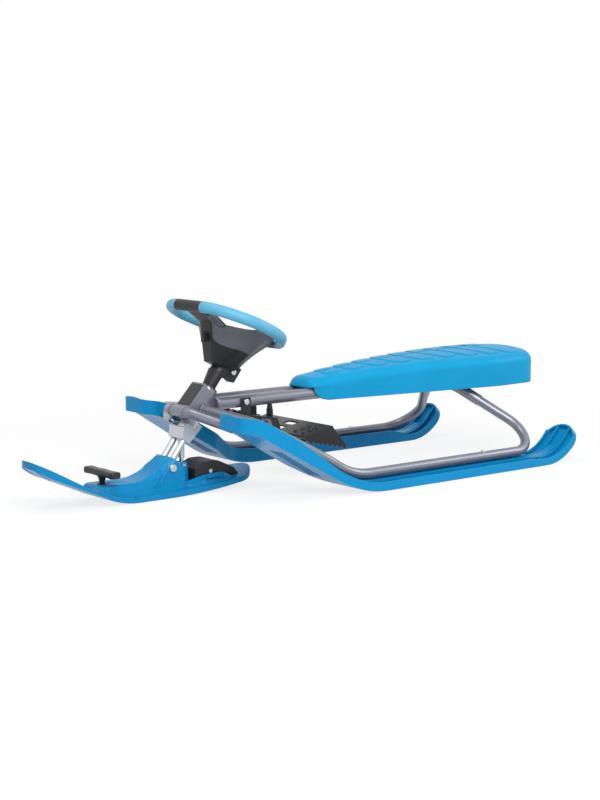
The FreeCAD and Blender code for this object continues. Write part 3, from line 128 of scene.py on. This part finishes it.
# Camera: at the photograph's place, low on the sled's front left quarter and looking slightly down.
# A long lens keeps the far runner nearly as large as the near one.
eye = Vector((2.0905, 2.603, 0.609))
looked_at = Vector((-0.0125, 0, 0.148))
bpy.ops.object.camera_add(location=eye)
camera = bpy.context.object
camera.rotation_euler = (looked_at - eye).to_track_quat("-Z", "Y").to_euler()
camera.data.lens = 76.68
camera.data.sensor_width = 36
camera.data.clip_end = 100
scene.camera = camera

# Runners: the two long plastic trays that the sled stands on, injection moulded in bright blue.
# Their skin is glossy with a very fine moulded grain, faintly rubbed lengthwise, and its edges are painted
# paler, partly as wear and partly as a painted highlight.


def new_group(name, inputs, outputs):
    """An empty shader group with named value, vector or colour sockets."""
    group = bpy.data.node_groups.new(name, "ShaderNodeTree")
    for label, kind, value in inputs:
        socket = group.interface.new_socket(label, in_out="INPUT", socket_type=kind)
        if value is not None:
            socket.default_value = value
    for label, kind in outputs:
        group.interface.new_socket(label, in_out="OUTPUT", socket_type=kind)
    start = group.nodes.new("NodeGroupInput")
    end = group.nodes.new("NodeGroupOutput")
    return group, start, end


def joined(tree, kind, *links, **settings):
    """A node of a kind with its settings, fed by pairs of an output or a value and an input's name."""
    node = tree.nodes.new(kind)
    for label, value in settings.items():
        setattr(node, label, value)
    for source, target in links:
        if hasattr(source, "links"):
            tree.links.new(source, node.inputs[target])
        else:
            node.inputs[target].default_value = source
    return node


# Moulded grain: the fine erosion of the mould's steel, with slow patches of gloss over it.
grain_group, grain_in, grain_end = new_group(
    "moulded_grain",
    [("Place", "NodeSocketVector", None), ("Fineness", "NodeSocketFloat", 2200.0)],
    [("Height", "NodeSocketFloat"), ("Patch", "NodeSocketFloat")])
pores = joined(grain_group, "ShaderNodeTexNoise", (grain_in.outputs["Place"], "Vector"),
               (grain_in.outputs["Fineness"], "Scale"), (2.0, "Detail"), (0.6, "Roughness"))
patches = joined(grain_group, "ShaderNodeTexNoise", (grain_in.outputs["Place"], "Vector"),
                 (9.0, "Scale"), (4.0, "Detail"), (0.55, "Roughness"))
patch_range = joined(grain_group, "ShaderNodeMapRange", (patches.outputs["Fac"], "Value"),
                     (0.3, "From Min"), (0.7, "From Max"))
grain_group.links.new(pores.outputs["Fac"], grain_end.inputs["Height"])
grain_group.links.new(patch_range.outputs["Result"], grain_end.inputs["Patch"])

# Eased edges: every moulded or sheared edge is a small round, and its mask paints the round paler, partly as
# first wear and partly as a painted highlight.
edge_group, edge_in, edge_end = new_group(
    "eased_edges",
    [("Radius", "NodeSocketFloat", 0.0012)],
    [("Normal", "NodeSocketVector"), ("Edge", "NodeSocketFloat")])
eased = joined(edge_group, "ShaderNodeBevel", (edge_in.outputs["Radius"], "Radius"), samples=6)
facing = joined(edge_group, "ShaderNodeNewGeometry")
alike = joined(edge_group, "ShaderNodeVectorMath", (eased.outputs["Normal"], 0),
               (facing.outputs["Normal"], 1), operation="DOT_PRODUCT")
turned = joined(edge_group, "ShaderNodeMapRange", (alike.outputs["Value"], "Value"),
                (0.985, "From Min"), (0.86, "From Max"))
edge_group.links.new(eased.outputs["Normal"], edge_end.inputs["Normal"])
edge_group.links.new(turned.outputs["Result"], edge_end.inputs["Edge"])

# Rub marks: faint lines drawn out along one direction by snow, boots and hands.
rub_group, rub_in, rub_end = new_group(
    "rub_marks",
    [("Place", "NodeSocketVector", None), ("Draw", "NodeSocketVector", (5.0, 420.0, 420.0))],
    [("Mark", "NodeSocketFloat")])
drawn = joined(rub_group, "ShaderNodeVectorMath", (rub_in.outputs["Place"], 0),
               (rub_in.outputs["Draw"], 1), operation="MULTIPLY")
lines = joined(rub_group, "ShaderNodeTexNoise", (drawn.outputs["Vector"], "Vector"),
               (1.0, "Scale"), (3.0, "Detail"), (0.7, "Roughness"))
line_range = joined(rub_group, "ShaderNodeMapRange", (lines.outputs["Fac"], "Value"),
                    (0.56, "From Min"), (0.74, "From Max"))
rub_group.links.new(line_range.outputs["Result"], rub_end.inputs["Mark"])


def new_skin(name, specular, fineness, radius):
    """A new material with its shader, the object's coordinates, grain and eased edges in place."""
    material = bpy.data.materials.new(name)
    material.use_nodes = True
    tree = material.node_tree
    skin = tree.nodes["Principled BSDF"]
    skin.inputs["Specular IOR Level"].default_value = specular
    where = joined(tree, "ShaderNodeTexCoord").outputs["Object"]
    grain = joined(tree, "ShaderNodeGroup", node_tree=grain_group)
    grain.inputs["Fineness"].default_value = fineness
    tree.links.new(where, grain.inputs["Place"])
    edges = joined(tree, "ShaderNodeGroup", node_tree=edge_group)
    edges.inputs["Radius"].default_value = radius
    return material, tree, skin, where, grain, edges


def toned(tree, skin, mask, low, high, edges, edge_share, edge_colour):
    """Colours a skin: a mask leads from one tone to another, and the edges take a share of a third, paler
    tone for wear and a painted highlight.
    """
    tone = joined(tree, "ShaderNodeMix", (mask, "Factor"), data_type="RGBA")
    tone.inputs["A"].default_value = low + (1,)
    tone.inputs["B"].default_value = high + (1,)
    # The edges' share of the third tone is partly wear and partly a painted highlight.
    rim = joined(tree, "ShaderNodeMath", (edges.outputs["Edge"], 0), (edge_share, 1), operation="MULTIPLY")
    worn_and_highlit = joined(tree, "ShaderNodeMix", (rim.outputs[0], "Factor"), data_type="RGBA")
    tree.links.new(tone.outputs["Result"], worn_and_highlit.inputs["A"])
    worn_and_highlit.inputs["B"].default_value = edge_colour + (1,)
    tree.links.new(worn_and_highlit.outputs["Result"], skin.inputs["Base Color"])


def moulded_plastic(name, colour, pale, roughness, fineness, dent, draw, specular=0.5, radius=0.0012):
    """Moulded plastic: tone and gloss wander slowly, edges go pale with wear and a painted highlight, rub
    marks dull the skin.
    """
    patch_shade, edge_share, rub_dulling = 0.93, 0.4, 0.12
    material, tree, skin, where, grain, edges = new_skin(name, specular, fineness, radius)
    rub = joined(tree, "ShaderNodeGroup", node_tree=rub_group)
    rub.inputs["Draw"].default_value = draw
    tree.links.new(where, rub.inputs["Place"])
    deep = tuple(patch_shade * part for part in colour)
    toned(tree, skin, grain.outputs["Patch"], deep, colour, edges, edge_share, pale)
    gloss = joined(tree, "ShaderNodeMapRange", (grain.outputs["Patch"], "Value"),
                   (roughness - 0.05, "To Min"), (roughness + 0.06, "To Max"))
    dull = joined(tree, "ShaderNodeMath", (rub.outputs["Mark"], 0), (rub_dulling, 1),
                  (gloss.outputs["Result"], 2), operation="MULTIPLY_ADD")
    tree.links.new(dull.outputs[0], skin.inputs["Roughness"])
    relief = joined(tree, "ShaderNodeBump", (grain.outputs["Height"], "Height"),
                    (edges.outputs["Normal"], "Normal"), (dent, "Strength"), (0.0004, "Distance"))
    tree.links.new(relief.outputs["Normal"], skin.inputs["Normal"])
    return material


def finish_nodes(material, *names):
    """Gives CAD nodes their finished material."""
    for name in names:
        node = nodes[name]
        node.data.materials.clear()
        node.data.materials.append(material)


runner_blue = moulded_plastic("runner_blue", (0.003, 0.237, 0.49), pale=(0.06, 0.42, 0.70), roughness=0.28,
                              fineness=1500.0, dent=0.06, draw=(4.0, 380.0, 380.0), specular=0.12)
finish_nodes(runner_blue, "runner_left", "runner_right")

# Frame tubes: bent steel tube, welded at the head and powder coated in a metallic gunmetal grey.
# The coat has fine flake in it and a light orange peel, and its sharp edges are painted a brighter grey,
# partly as thinned coat and partly as a painted highlight.


def coated_metal(name, dark, light, metallic, roughness, flake, coat=0.0, specular=0.5):
    """Painted or plated metal: sparkling flake, slow waves in the coat, bright edges that are partly wear
    and partly a painted highlight.
    """
    edge_radius, edge_share, edge_gain = 0.0007, 0.35, 1.5
    material, tree, skin, where, grain, edges = new_skin(name, specular, flake, edge_radius)
    skin.inputs["Metallic"].default_value = metallic
    skin.inputs["Coat Weight"].default_value = coat
    skin.inputs["Coat Roughness"].default_value = 0.12
    sparkle = joined(tree, "ShaderNodeMapRange", (grain.outputs["Height"], "Value"),
                     (0.35, "From Min"), (0.75, "From Max"))
    # Edges brighten towards this tone: partly worn coat, partly a painted highlight.
    bright = tuple(min(1, edge_gain * part) for part in light)
    toned(tree, skin, sparkle.outputs["Result"], dark, light, edges, edge_share, bright)
    gloss = joined(tree, "ShaderNodeMapRange", (grain.outputs["Patch"], "Value"),
                   (roughness - 0.06, "To Min"), (roughness + 0.06, "To Max"))
    tree.links.new(gloss.outputs["Result"], skin.inputs["Roughness"])
    peel = joined(tree, "ShaderNodeTexNoise", (where, "Vector"), (420.0, "Scale"), (1.0, "Detail"))
    relief = joined(tree, "ShaderNodeBump", (peel.outputs["Fac"], "Height"),
                    (edges.outputs["Normal"], "Normal"), (0.05, "Strength"), (0.0004, "Distance"))
    tree.links.new(relief.outputs["Normal"], skin.inputs["Normal"])
    return material


tube_coat = coated_metal("tube_coat", (0.15, 0.155, 0.19), light=(0.27, 0.28, 0.335), metallic=0.5,
                         roughness=0.34, flake=5200.0, coat=0.25)
finish_nodes(tube_coat, "spine_tube_left", "spine_tube_right", "rail_tube_left", "rail_tube_right",
             "front_arch", "head_tube", "head_bracket")

# Frame welds: the beads that join arch, rails and spine tubes to the folded head bracket.
# They are laid by hand in overlapping ripples and coated together with the tubes.


def settled(piece, material, body, crisp=40):
    """Fixes a finished piece's place in its mesh, gives it its material and hands it to its body."""
    bpy.ops.object.transform_apply(location=True, rotation=True, scale=True)
    bpy.ops.object.shade_smooth_by_angle(angle=math.radians(crisp))
    piece.data.materials.append(material)
    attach(piece, body)
    bpy.ops.object.select_all(action="DESELECT")


def pick(piece, test):
    """Selects just the points of a mesh that pass a test, ready for an edit operator."""
    for face in piece.data.polygons:
        face.select = False
    for edge in piece.data.edges:
        edge.select = False
    for point in piece.data.vertices:
        point.select = test(point.co)


def weld_ring(name, centre, along, radius):
    """A rippled bead round a tube: a ring, swollen at each ripple, set across the tube's line."""
    bead, ripples, crest, swell = 0.0016, 18, 0.2, 0.3
    turn = Vector(along).to_track_quat("Z", "Y").to_euler()
    bpy.ops.mesh.primitive_torus_add(major_segments=4 * ripples, minor_segments=10, major_radius=radius,
                                     minor_radius=bead, location=centre, rotation=turn)
    ring = bpy.context.object
    ring.name = name
    pick(ring, lambda co: math.cos(ripples * math.atan2(co.y, co.x)) > crest)
    bpy.ops.object.mode_set(mode="EDIT")
    bpy.ops.transform.shrink_fatten(value=swell * bead)
    bpy.ops.object.mode_set(mode="OBJECT")
    settled(ring, tube_coat, "frame")


spine_side, spine_height = 0.026, 0.163
rail_weld_radius, spine_weld_radius = 0.0102, 0.0116
for label, side in (("left", 1), ("right", -1)):
    arch_joint, arch_line = (0.280, side * 0.0214, 0.153), (0, side, 0)
    rail_joint, rail_line = (0.236, side * 0.0212, 0.1529), (0.193, side * -0.976, 0.106)
    spine_joint, spine_line = (0.2112, side * spine_side, spine_height), (1, 0, 0)
    weld_ring("arch_weld_" + label, arch_joint, arch_line, rail_weld_radius)
    weld_ring("rail_weld_" + label, rail_joint, rail_line, rail_weld_radius)
    weld_ring("spine_weld_" + label, spine_joint, spine_line, spine_weld_radius)

# Spine tube ends: a pressed steel cap closes each upper tube in front and is coated with it.
# Its face is sunk within a raised rim, and a weld runs round its edge.


def pick_faces(piece, test):
    """Opens a mesh for edits, with just the faces selected whose normals pass a test."""
    pick(piece, lambda co: False)
    for face in piece.data.polygons:
        face.select = test(face.normal)
    bpy.ops.object.mode_set(mode="EDIT")
    bpy.ops.mesh.select_mode(type="FACE")


cap_radius, cap_depth, cap_ahead = 0.0112, 0.004, 0.2104
for label, side in (("left", 1), ("right", -1)):
    bpy.ops.mesh.primitive_cylinder_add(vertices=48, radius=cap_radius, depth=cap_depth,
                                        location=(cap_ahead, side * spine_side, spine_height),
                                        rotation=(0, math.pi / 2, 0))
    tube_cap = bpy.context.object
    tube_cap.name = "tube_cap_" + label
    pick_faces(tube_cap, lambda normal: normal.z > 0.9)
    bpy.ops.mesh.bevel(offset=0.0009, segments=3, affect="EDGES")
    bpy.ops.mesh.inset(thickness=0.003)
    bpy.ops.mesh.inset(thickness=0.0015, depth=-0.0009)
    bpy.ops.mesh.select_mode(type="VERT")
    bpy.ops.object.mode_set(mode="OBJECT")
    settled(tube_cap, tube_coat, "frame")

# Fasteners: rivets, screws, bolts, nuts and pins of bright zinc-plated steel.
# The plating is thin and slightly blue, and its gloss varies in slow patches.
zinc_plate = coated_metal("zinc_plate", (0.50, 0.51, 0.54), light=(0.68, 0.69, 0.71), metallic=1.0,
                          roughness=0.28, flake=2600.0)
finish_nodes(zinc_plate, "rail_rivets", "seat_screws", "brake_ear_bolts", "wheel_clamp_bolt",
             "ski_pivot_bolt", "ski_pivot_nut", "ski_pivot_spacers", "strut_pin", "winder_axle")

# Steering head: two flanged bushes of black nylon in the head tube, and the flat black plate
# that closes the front of the folded bracket. The winder's spool and drum are of the same nylon.
bush_nylon = moulded_plastic("bush_nylon", (0.030, 0.030, 0.033), pale=(0.09, 0.09, 0.095), roughness=0.46,
                             fineness=2600.0, dent=0.10, draw=(300.0, 300.0, 20.0), specular=0.35,
                             radius=0.0006)
finish_nodes(bush_nylon, "lower_bush", "upper_bush", "winder_spool", "winder_spring_drum")
plate_black = moulded_plastic("plate_black", (0.016, 0.016, 0.018), pale=(0.07, 0.07, 0.075), roughness=0.34,
                              fineness=2400.0, dent=0.06, draw=(200.0, 8.0, 200.0), specular=0.4,
                              radius=0.0006)
finish_nodes(plate_black, "head_front_plate")

# Fork: the dark coated column, the folded crown under the head and the two stays that hold the ski.
# Crown, stop, stays and the strut's sleeve are in bright silver paint, and the strut's rod is polished.
fork_silver = coated_metal("fork_silver", (0.46, 0.48, 0.52), light=(0.66, 0.68, 0.72), metallic=0.75,
                           roughness=0.30, flake=4200.0, coat=0.2)
finish_nodes(fork_silver, "fork_crown", "fork_stay_left", "fork_stay_right", "strut_sleeve", "steering_stop")
column_steel = coated_metal("column_steel", (0.10, 0.10, 0.12), light=(0.20, 0.20, 0.235), metallic=0.6,
                            roughness=0.32, flake=5200.0, coat=0.2)
finish_nodes(column_steel, "steering_column")
rod_steel = coated_metal("rod_steel", (0.55, 0.56, 0.58), light=(0.72, 0.73, 0.75), metallic=1.0,
                         roughness=0.18, flake=1800.0)
finish_nodes(rod_steel, "strut_rod")

# Front ski: one blue moulding with a turned-up tip, a deck, and the pod round the fork's feet.
# Ahead of the deck a low rim swells towards the tip, the tail narrows and rises, and the pod's
# prow sweeps out at its foot into the deck.
ski_blue = moulded_plastic("ski_blue", (0.003, 0.21, 0.45), pale=(0.08, 0.42, 0.72), roughness=0.26,
                           fineness=1500.0, dent=0.05, draw=(4.0, 380.0, 380.0), specular=0.14)


def copied_node(name, node):
    """A copy of a CAD node with its loose triangles merged, ready to be worked on."""
    piece = bpy.data.objects.new(name, nodes[node].data.copy())
    scene.collection.objects.link(piece)
    piece.data.materials.clear()
    bpy.context.view_layer.objects.active = piece
    piece.select_set(True)
    bpy.ops.object.mode_set(mode="EDIT")
    bpy.ops.mesh.select_all(action="SELECT")
    bpy.ops.mesh.remove_doubles(threshold=0.000002)
    bpy.ops.object.mode_set(mode="OBJECT")
    return piece


def sliced(axis, places):
    """Gives the active piece a ring of points at each place along an axis, for drawing it to shape."""
    bpy.ops.object.mode_set(mode="EDIT")
    for place in places:
        bpy.ops.mesh.select_all(action="SELECT")
        bpy.ops.mesh.bisect(plane_co=[place * part for part in axis], plane_no=axis)
    bpy.ops.object.mode_set(mode="OBJECT")


def soft_step(value, low, high):
    """0 below a span and 1 above it, with a soft start and stop between."""
    share = min(1, max(0, (value - low) / (high - low)))
    return share * share * (3 - 2 * share)


ski_moulding = copied_node("ski_moulding", "front_ski")
bow_start, bow_lead, bow_stretch = 0.4703, 0.006, 1.1
bow_sole, bow_slope = 0.0143, math.tan(math.radians(23))
deck_end, deck_half, deck_slack = 0.495, 0.034, 0.0003
rim_rise, floor_rise, rim_lip, lip_end = 0.0217, 0.0109, 0.0012, bow_start + 0.02
rim_dip, dip_end, rim_swell, swell_start = 0.0025, 0.505, 0.118, 0.508
tip_lift, tip_span = 0.010, (0.570, 0.620)
side_lift, side_span = 0.002, (0.03, 0.05)
bow_slices = [0.476 + 0.008 * i for i in range(15)]
sliced((1, 0, 0), bow_slices)
for point in ski_moulding.data.vertices:
    x, y, z = point.co
    height = z - bow_sole - bow_slope * (x - bow_start)
    on_deck = abs(y) < deck_half and x < deck_end and height > floor_rise + deck_slack
    if x < bow_start - bow_lead or on_deck:
        continue
    x = max(x, bow_start + bow_stretch * (x - bow_start))
    rim_top = floor_rise - rim_dip * soft_step(x, bow_start, dip_end) + rim_swell * max(0, x - swell_start)
    floor_top = min(floor_rise, rim_top - rim_lip * soft_step(x, bow_start - bow_lead, lip_end))
    if height > floor_rise:
        height = floor_top + (height - floor_rise) * (rim_top - floor_top) / (rim_rise - floor_rise)
    else:
        height *= floor_top / floor_rise
    lift = tip_lift * soft_step(x, *tip_span) + side_lift * soft_step(abs(y), *side_span)
    height = lift + height * (rim_top - lift) / rim_top
    point.co = (x, y, bow_sole + bow_slope * (x - bow_start) + height)
tail_start, tail_length, tail_taper, tail_lift = 0.172, 0.047, 0.28, 0.006


def tail_shape(x):
    """How wide the tail is left, as a share, and how far it is lifted at a place along the ski."""
    back = max(0, (tail_start - x) / tail_length)
    return 1 - tail_taper * back ** 3, tail_lift * back ** 2


tail_slices = (0.130, 0.137, 0.145, 0.154, 0.164, 0.172, 0.180, 0.188)
sliced((1, 0, 0), tail_slices)
for point in ski_moulding.data.vertices:
    width_left, lifted = tail_shape(point.co.x)
    point.co.y *= width_left
    point.co.z += lifted
prow_back, prow_length, prow_front, prow_half = 0.316, 0.052, 0.382, 0.0305
prow_foot, prow_top, foot_slack = 0.033, 0.0705, 0.0002
prow_sweep, sweep_height = 0.024, 0.018
prow_slices = (0.036, 0.039, 0.042, 0.046, 0.050, 0.056, 0.062)
sliced((0, 0, 1), prow_slices)
for point in ski_moulding.data.vertices:
    x, y, z = point.co
    if prow_back < x < prow_front and prow_foot - foot_slack < z < prow_top and abs(y) < prow_half:
        sweep = prow_sweep * max(0, 1 - (z - prow_foot) / sweep_height) ** 2
        point.co.x += sweep * (x - prow_back) / prow_length
settled(ski_moulding, ski_blue, "ski", crisp=22)
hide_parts("front_ski")

# Ski tail: a round apron that closes the tray behind the winder and follows the sole's rise.
# It is moulded in one with the ski, in the same skin, with its edges eased.
apron_radius, apron_middle, apron_front, apron_spread = 0.0456, 0.170, 0.180, 0.005
apron_top, apron_bottom, apron_split, middle_slack = 0.0105, 0.0008, 0.025, 0.0001
rocker_radius, rocker_start = 1.15, 0.340
bpy.ops.mesh.primitive_cylinder_add(vertices=96, radius=apron_radius, depth=0.01,
                                    location=(apron_middle, 0, apron_split))
ski_tail = bpy.context.object
ski_tail.name = "ski_tail"
bpy.ops.object.transform_apply(location=True)
apron_slices = [0.127 + 0.004 * i for i in range(13)]
sliced((1, 0, 0), apron_slices)
bpy.ops.object.mode_set(mode="EDIT")
bpy.ops.mesh.select_all(action="SELECT")
bpy.ops.mesh.bisect(plane_co=(apron_front, 0, 0), plane_no=(1, 0, 0), clear_outer=True, use_fill=True)
bpy.ops.object.mode_set(mode="OBJECT")
for point in ski_tail.data.vertices:
    x, y, z = point.co
    width_left, lifted = tail_shape(x)
    sole = rocker_radius - math.sqrt(rocker_radius ** 2 - (rocker_start - x) ** 2) + lifted
    spread = y + math.copysign(apron_spread, y) if abs(y) > middle_slack else y
    point.co = (x, spread * width_left, sole + (apron_top if z > apron_split else apron_bottom))
bpy.ops.object.mode_set(mode="EDIT")
bpy.ops.mesh.select_mode(type="EDGE")
bpy.ops.mesh.select_all(action="DESELECT")
bpy.ops.mesh.edges_select_sharp(sharpness=math.radians(55))
bpy.ops.mesh.bevel(offset=0.0016, segments=3, affect="EDGES")
bpy.ops.mesh.select_mode(type="VERT")
bpy.ops.object.mode_set(mode="OBJECT")
settled(ski_tail, ski_blue, "ski")

# Pod ribs: two rounded ribs down each flank of the pod, in line with the fork, ahead of the pivot.
# They are moulded in one with the ski, half sunk in the flank and tapered at their ends.
rib_radius, rib_taper, rib_lean, lean_height = 0.0024, 0.3, 0.6, 0.052
rib_heights = (0.060, 0.052, 0.044, 0.036, 0.028, 0.020)
beside_pod = 0.1


def laid_rib(name, points, cast):
    """A rib: points dropped on the ski along a direction, joined by a round bar half sunk in it."""
    hits = [ski_moulding.ray_cast(Vector(place), Vector(cast))[:2] for place in points]
    knots = [place for found, place in hits if found]
    bpy.ops.object.select_all(action="DESELECT")
    bpy.ops.curve.primitive_nurbs_path_add()
    rib = bpy.context.object
    rib.name = name
    rib.data.splines.clear()
    line = rib.data.splines.new("NURBS")
    line.points.add(len(knots) - 1)
    for knot, place in zip(line.points, knots):
        knot.co = (*place, 1)
    line.points[0].radius = line.points[-1].radius = rib_taper
    line.order_u = 3
    line.use_endpoint_u = True
    rib.data.bevel_depth = rib_radius
    rib.data.bevel_resolution = 4
    rib.data.use_fill_caps = True
    bpy.ops.object.convert(target="MESH")
    settled(rib, ski_blue, "ski")


for label, side in (("left", 1), ("right", -1)):
    for end, ahead in (("front", 0.340), ("rear", 0.3285)):
        flank = [(ahead + rib_lean * (lean_height - z), side * beside_pod, z) for z in rib_heights]
        laid_rib("pod_rib_%s_%s" % (end, label), flank, (0, -side, 0))

# Winder: a black moulded cover over the spool in the tray, and the collar on the deck that the
# tow handle parks in. Both have the fine spark-eroded grain of black plastics.
winder_black = moulded_plastic("winder_black", (0.014, 0.014, 0.016), pale=(0.07, 0.07, 0.075),
                               roughness=0.38, fineness=1900.0, dent=0.16, draw=(300.0, 12.0, 300.0),
                               specular=0.4)
finish_nodes(winder_black, "winder_cover", "tow_collar")

# Tow handle: a flattened bar with rounded ends and a waist for two fingers each side of its web,
# moulded in one with the stem that drops through the collar.
handle_ahead, bar_height, bar_size = 0.451, 0.055, (0.020, 0.098, 0.0125)
waist_depth, waist_end, bar_slice = 0.08, 0.043, 0.004
stem_radius, stem_length, stem_height, stem_cut = 0.0054, 0.036, 0.0345, 0.013
web_step, web_steps = 0.006, ((1.2, 1.7, 0.045), (1.1, 2.0, 0.051))
bpy.ops.object.select_all(action="DESELECT")
bpy.ops.mesh.primitive_cube_add(size=1, location=(handle_ahead, 0, bar_height))
tow_bar = bpy.context.object
tow_bar.name = "tow_bar"
bpy.ops.object.mode_set(mode="EDIT")
bpy.ops.transform.resize(value=bar_size)
bpy.ops.mesh.bevel(offset=0.0036, segments=3, affect="EDGES")
bpy.ops.object.mode_set(mode="OBJECT")
sliced((0, 1, 0), [bar_slice * i for i in range(-10, 11)])
for point in tow_bar.data.vertices:
    waist = 1 - waist_depth * math.sin(math.pi * min(1, abs(point.co.y) / waist_end)) ** 2
    point.co.z *= waist
    point.co.x *= 1 - 0.5 * (1 - waist)
bpy.ops.object.transform_apply(location=True)
bpy.ops.mesh.primitive_cylinder_add(vertices=48, radius=stem_radius, depth=stem_length,
                                    location=(handle_ahead, 0, stem_height))
tow_stem = bpy.context.object
bpy.ops.object.transform_apply(location=True)
pick_faces(tow_stem, lambda normal: normal.z > 0.9)
bpy.ops.transform.translate(value=(0, 0, -stem_cut))
for deeper, wider, height in web_steps:
    bpy.ops.mesh.extrude_region_move(TRANSFORM_OT_translate={"value": (0, 0, web_step)})
    bpy.ops.transform.resize(value=(deeper, wider, 1), center_override=(handle_ahead, 0, height))
bpy.ops.mesh.select_mode(type="VERT")
bpy.ops.object.mode_set(mode="OBJECT")
tow_bar.select_set(True)
bpy.context.view_layer.objects.active = tow_bar
bpy.ops.object.join()
settled(tow_bar, winder_black, "handle")
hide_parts("tow_handle")

# Seat: a crowned moulded shell with raised chevron pads, held down on two bridge plates by screws
# from below. Its skin is a satin blue, a little lighter than the runners', with softer edges.
seat_blue = moulded_plastic("seat_blue", (0.008, 0.295, 0.55), pale=(0.06, 0.42, 0.72), roughness=0.36,
                            fineness=1400.0, dent=0.07, draw=(120.0, 12.0, 120.0), specular=0.07,
                            radius=0.003)
finish_nodes(seat_blue, "seat_shell")

# Seat cheeks: each side wall runs on past the nose's cut and sweeps up to it, outside the tube
# it flanks. The two are moulded in one with the shell, in the same skin.
wall_low, nose_low, cheek_split = 0.150, 0.1768, 0.16
cheek_ahead, cheek_side, cheek_length, cheek_thickness = -0.0415, 0.0427, 0.051, 0.009
proud_below, tuck, tuck_span = 0.0007, 0.0015, (0.058, 0.062)
sweep_start, sweep_length, sweep_gap = -0.052, 0.035, 0.0015
cheek_slices = [-0.064 + 0.003 * i for i in range(17)]
beside_seat = 0.2
for label, side in (("left", 1), ("right", -1)):
    cheek_place = (cheek_ahead, side * cheek_side, (wall_low + nose_low) / 2)
    bpy.ops.mesh.primitive_cube_add(size=1, location=cheek_place)
    seat_cheek = bpy.context.object
    seat_cheek.name = "seat_cheek_" + label
    bpy.ops.object.mode_set(mode="EDIT")
    bpy.ops.transform.resize(value=(cheek_length, cheek_thickness, nose_low - wall_low))
    bpy.ops.object.mode_set(mode="OBJECT")
    bpy.ops.object.transform_apply(location=True)
    sliced((1, 0, 0), cheek_slices)
    for point in seat_cheek.data.vertices:
        x, y, z = point.co
        if abs(y) > cheek_side:
            ray_start = (x, side * beside_seat, nose_low)
            found, wall = nodes["seat_shell"].ray_cast(ray_start, (0, -side, 0))[:2]
            proud = proud_below if z < cheek_split else 0
            proud -= tuck * soft_step(-x, *tuck_span)
            point.co.y = wall.y + side * proud if found else y
        if z < cheek_split:
            sweep = min(1, max(0, (x - sweep_start) / sweep_length))
            point.co.z = wall_low + (nose_low - sweep_gap - wall_low) * (1 - math.sqrt(1 - sweep ** 2))
    settled(seat_cheek, seat_blue, "frame")

# Seat bridges: two flat steel plates across the spine tubes, one near each end of the seat.
# They are coated in plain black, and the seat's screws pass up through them into its posts.
bridge_steel = coated_metal("bridge_steel", (0.018, 0.018, 0.02), light=(0.04, 0.04, 0.044), metallic=0.3,
                            roughness=0.40, flake=3600.0)
finish_nodes(bridge_steel, "seat_bridge_front", "seat_bridge_rear")

# Steering wheel: a moulded rim and a deep hull in one piece, clamped on the column by its neck.
# It is black, with a deeper grain than the ski and the runners.
hull_black = moulded_plastic("hull_black", (0.012, 0.012, 0.014), pale=(0.06, 0.06, 0.065), roughness=0.42,
                             fineness=1700.0, dent=0.20, draw=(200.0, 200.0, 14.0), specular=0.35)
finish_nodes(hull_black, "wheel_body")

# Wheel panels: grey moulded panels let into the hull's two sides, flush with its skin.
# Each panel's upper edge rises above the hull's wall and leaves a narrow gap under the grip.
panel_grey = moulded_plastic("panel_grey", (0.12, 0.12, 0.138), pale=(0.2, 0.2, 0.22), roughness=0.46,
                             fineness=1300.0, dent=0.26, draw=(200.0, 200.0, 14.0), specular=0.35)
wheel_tilt = math.radians(23)
wheel_ahead = Vector((math.cos(wheel_tilt), 0, math.sin(wheel_tilt)))
wheel_up = Vector((-math.sin(wheel_tilt), 0, math.cos(wheel_tilt)))
wheel_centre = Vector((0.148, 0, 0.305))
dip_ahead, dip_above, dip_radius, dip_slack = 0.0504, 0.0441, 0.065, 0.0006
raised_to, raised_share = -0.004, 0.5
for label in ("left", "right"):
    flank_panel = copied_node("flank_panel_" + label, "wheel_panel_" + label)
    for point in flank_panel.data.vertices:
        ahead = (point.co - wheel_centre).dot(wheel_ahead)
        above = (point.co - wheel_centre).dot(wheel_up)
        on_edge = abs(math.hypot(ahead - dip_ahead, above - dip_above) - dip_radius) < dip_slack
        if on_edge and above < raised_to:
            point.co += wheel_up * raised_share * (raised_to - above)
    settled(flank_panel, panel_grey, "steering")
    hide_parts("wheel_panel_" + label)

# Grips: two soft skins in light blue, moulded over the sides of the rim where the hands hold it.
# Hands rub them alike in every direction, to a satin gloss.
grip_blue = moulded_plastic("grip_blue", (0.095, 0.37, 0.54), pale=(0.24, 0.52, 0.66), roughness=0.44,
                            fineness=1500.0, dent=0.18, draw=(60.0, 60.0, 60.0), specular=0.4)
finish_nodes(grip_blue, "grip_left", "grip_right")

# Brake: ears and a hinge pin under the spine tubes, a pressed claw plate with two pedals in black
# powder coat, a wound return spring and two rubber buffers that meet the tubes.
brake_black = coated_metal("brake_black", (0.012, 0.012, 0.014), light=(0.03, 0.03, 0.034), metallic=0.25,
                           roughness=0.38, flake=3000.0, specular=0.4)
finish_nodes(brake_black, "brake_plate", "brake_ear_left", "brake_ear_right", "brake_hinge_pin")
spring_steel = coated_metal("spring_steel", (0.30, 0.30, 0.32), light=(0.48, 0.48, 0.50), metallic=1.0,
                            roughness=0.30, flake=2600.0)
finish_nodes(spring_steel, "brake_return_spring")
buffer_rubber = moulded_plastic("buffer_rubber", (0.016, 0.016, 0.017), pale=(0.05, 0.05, 0.052),
                                roughness=0.62, fineness=1800.0, dent=0.3, draw=(100.0, 100.0, 100.0),
                                specular=0.3)
finish_nodes(buffer_rubber, "brake_buffers")
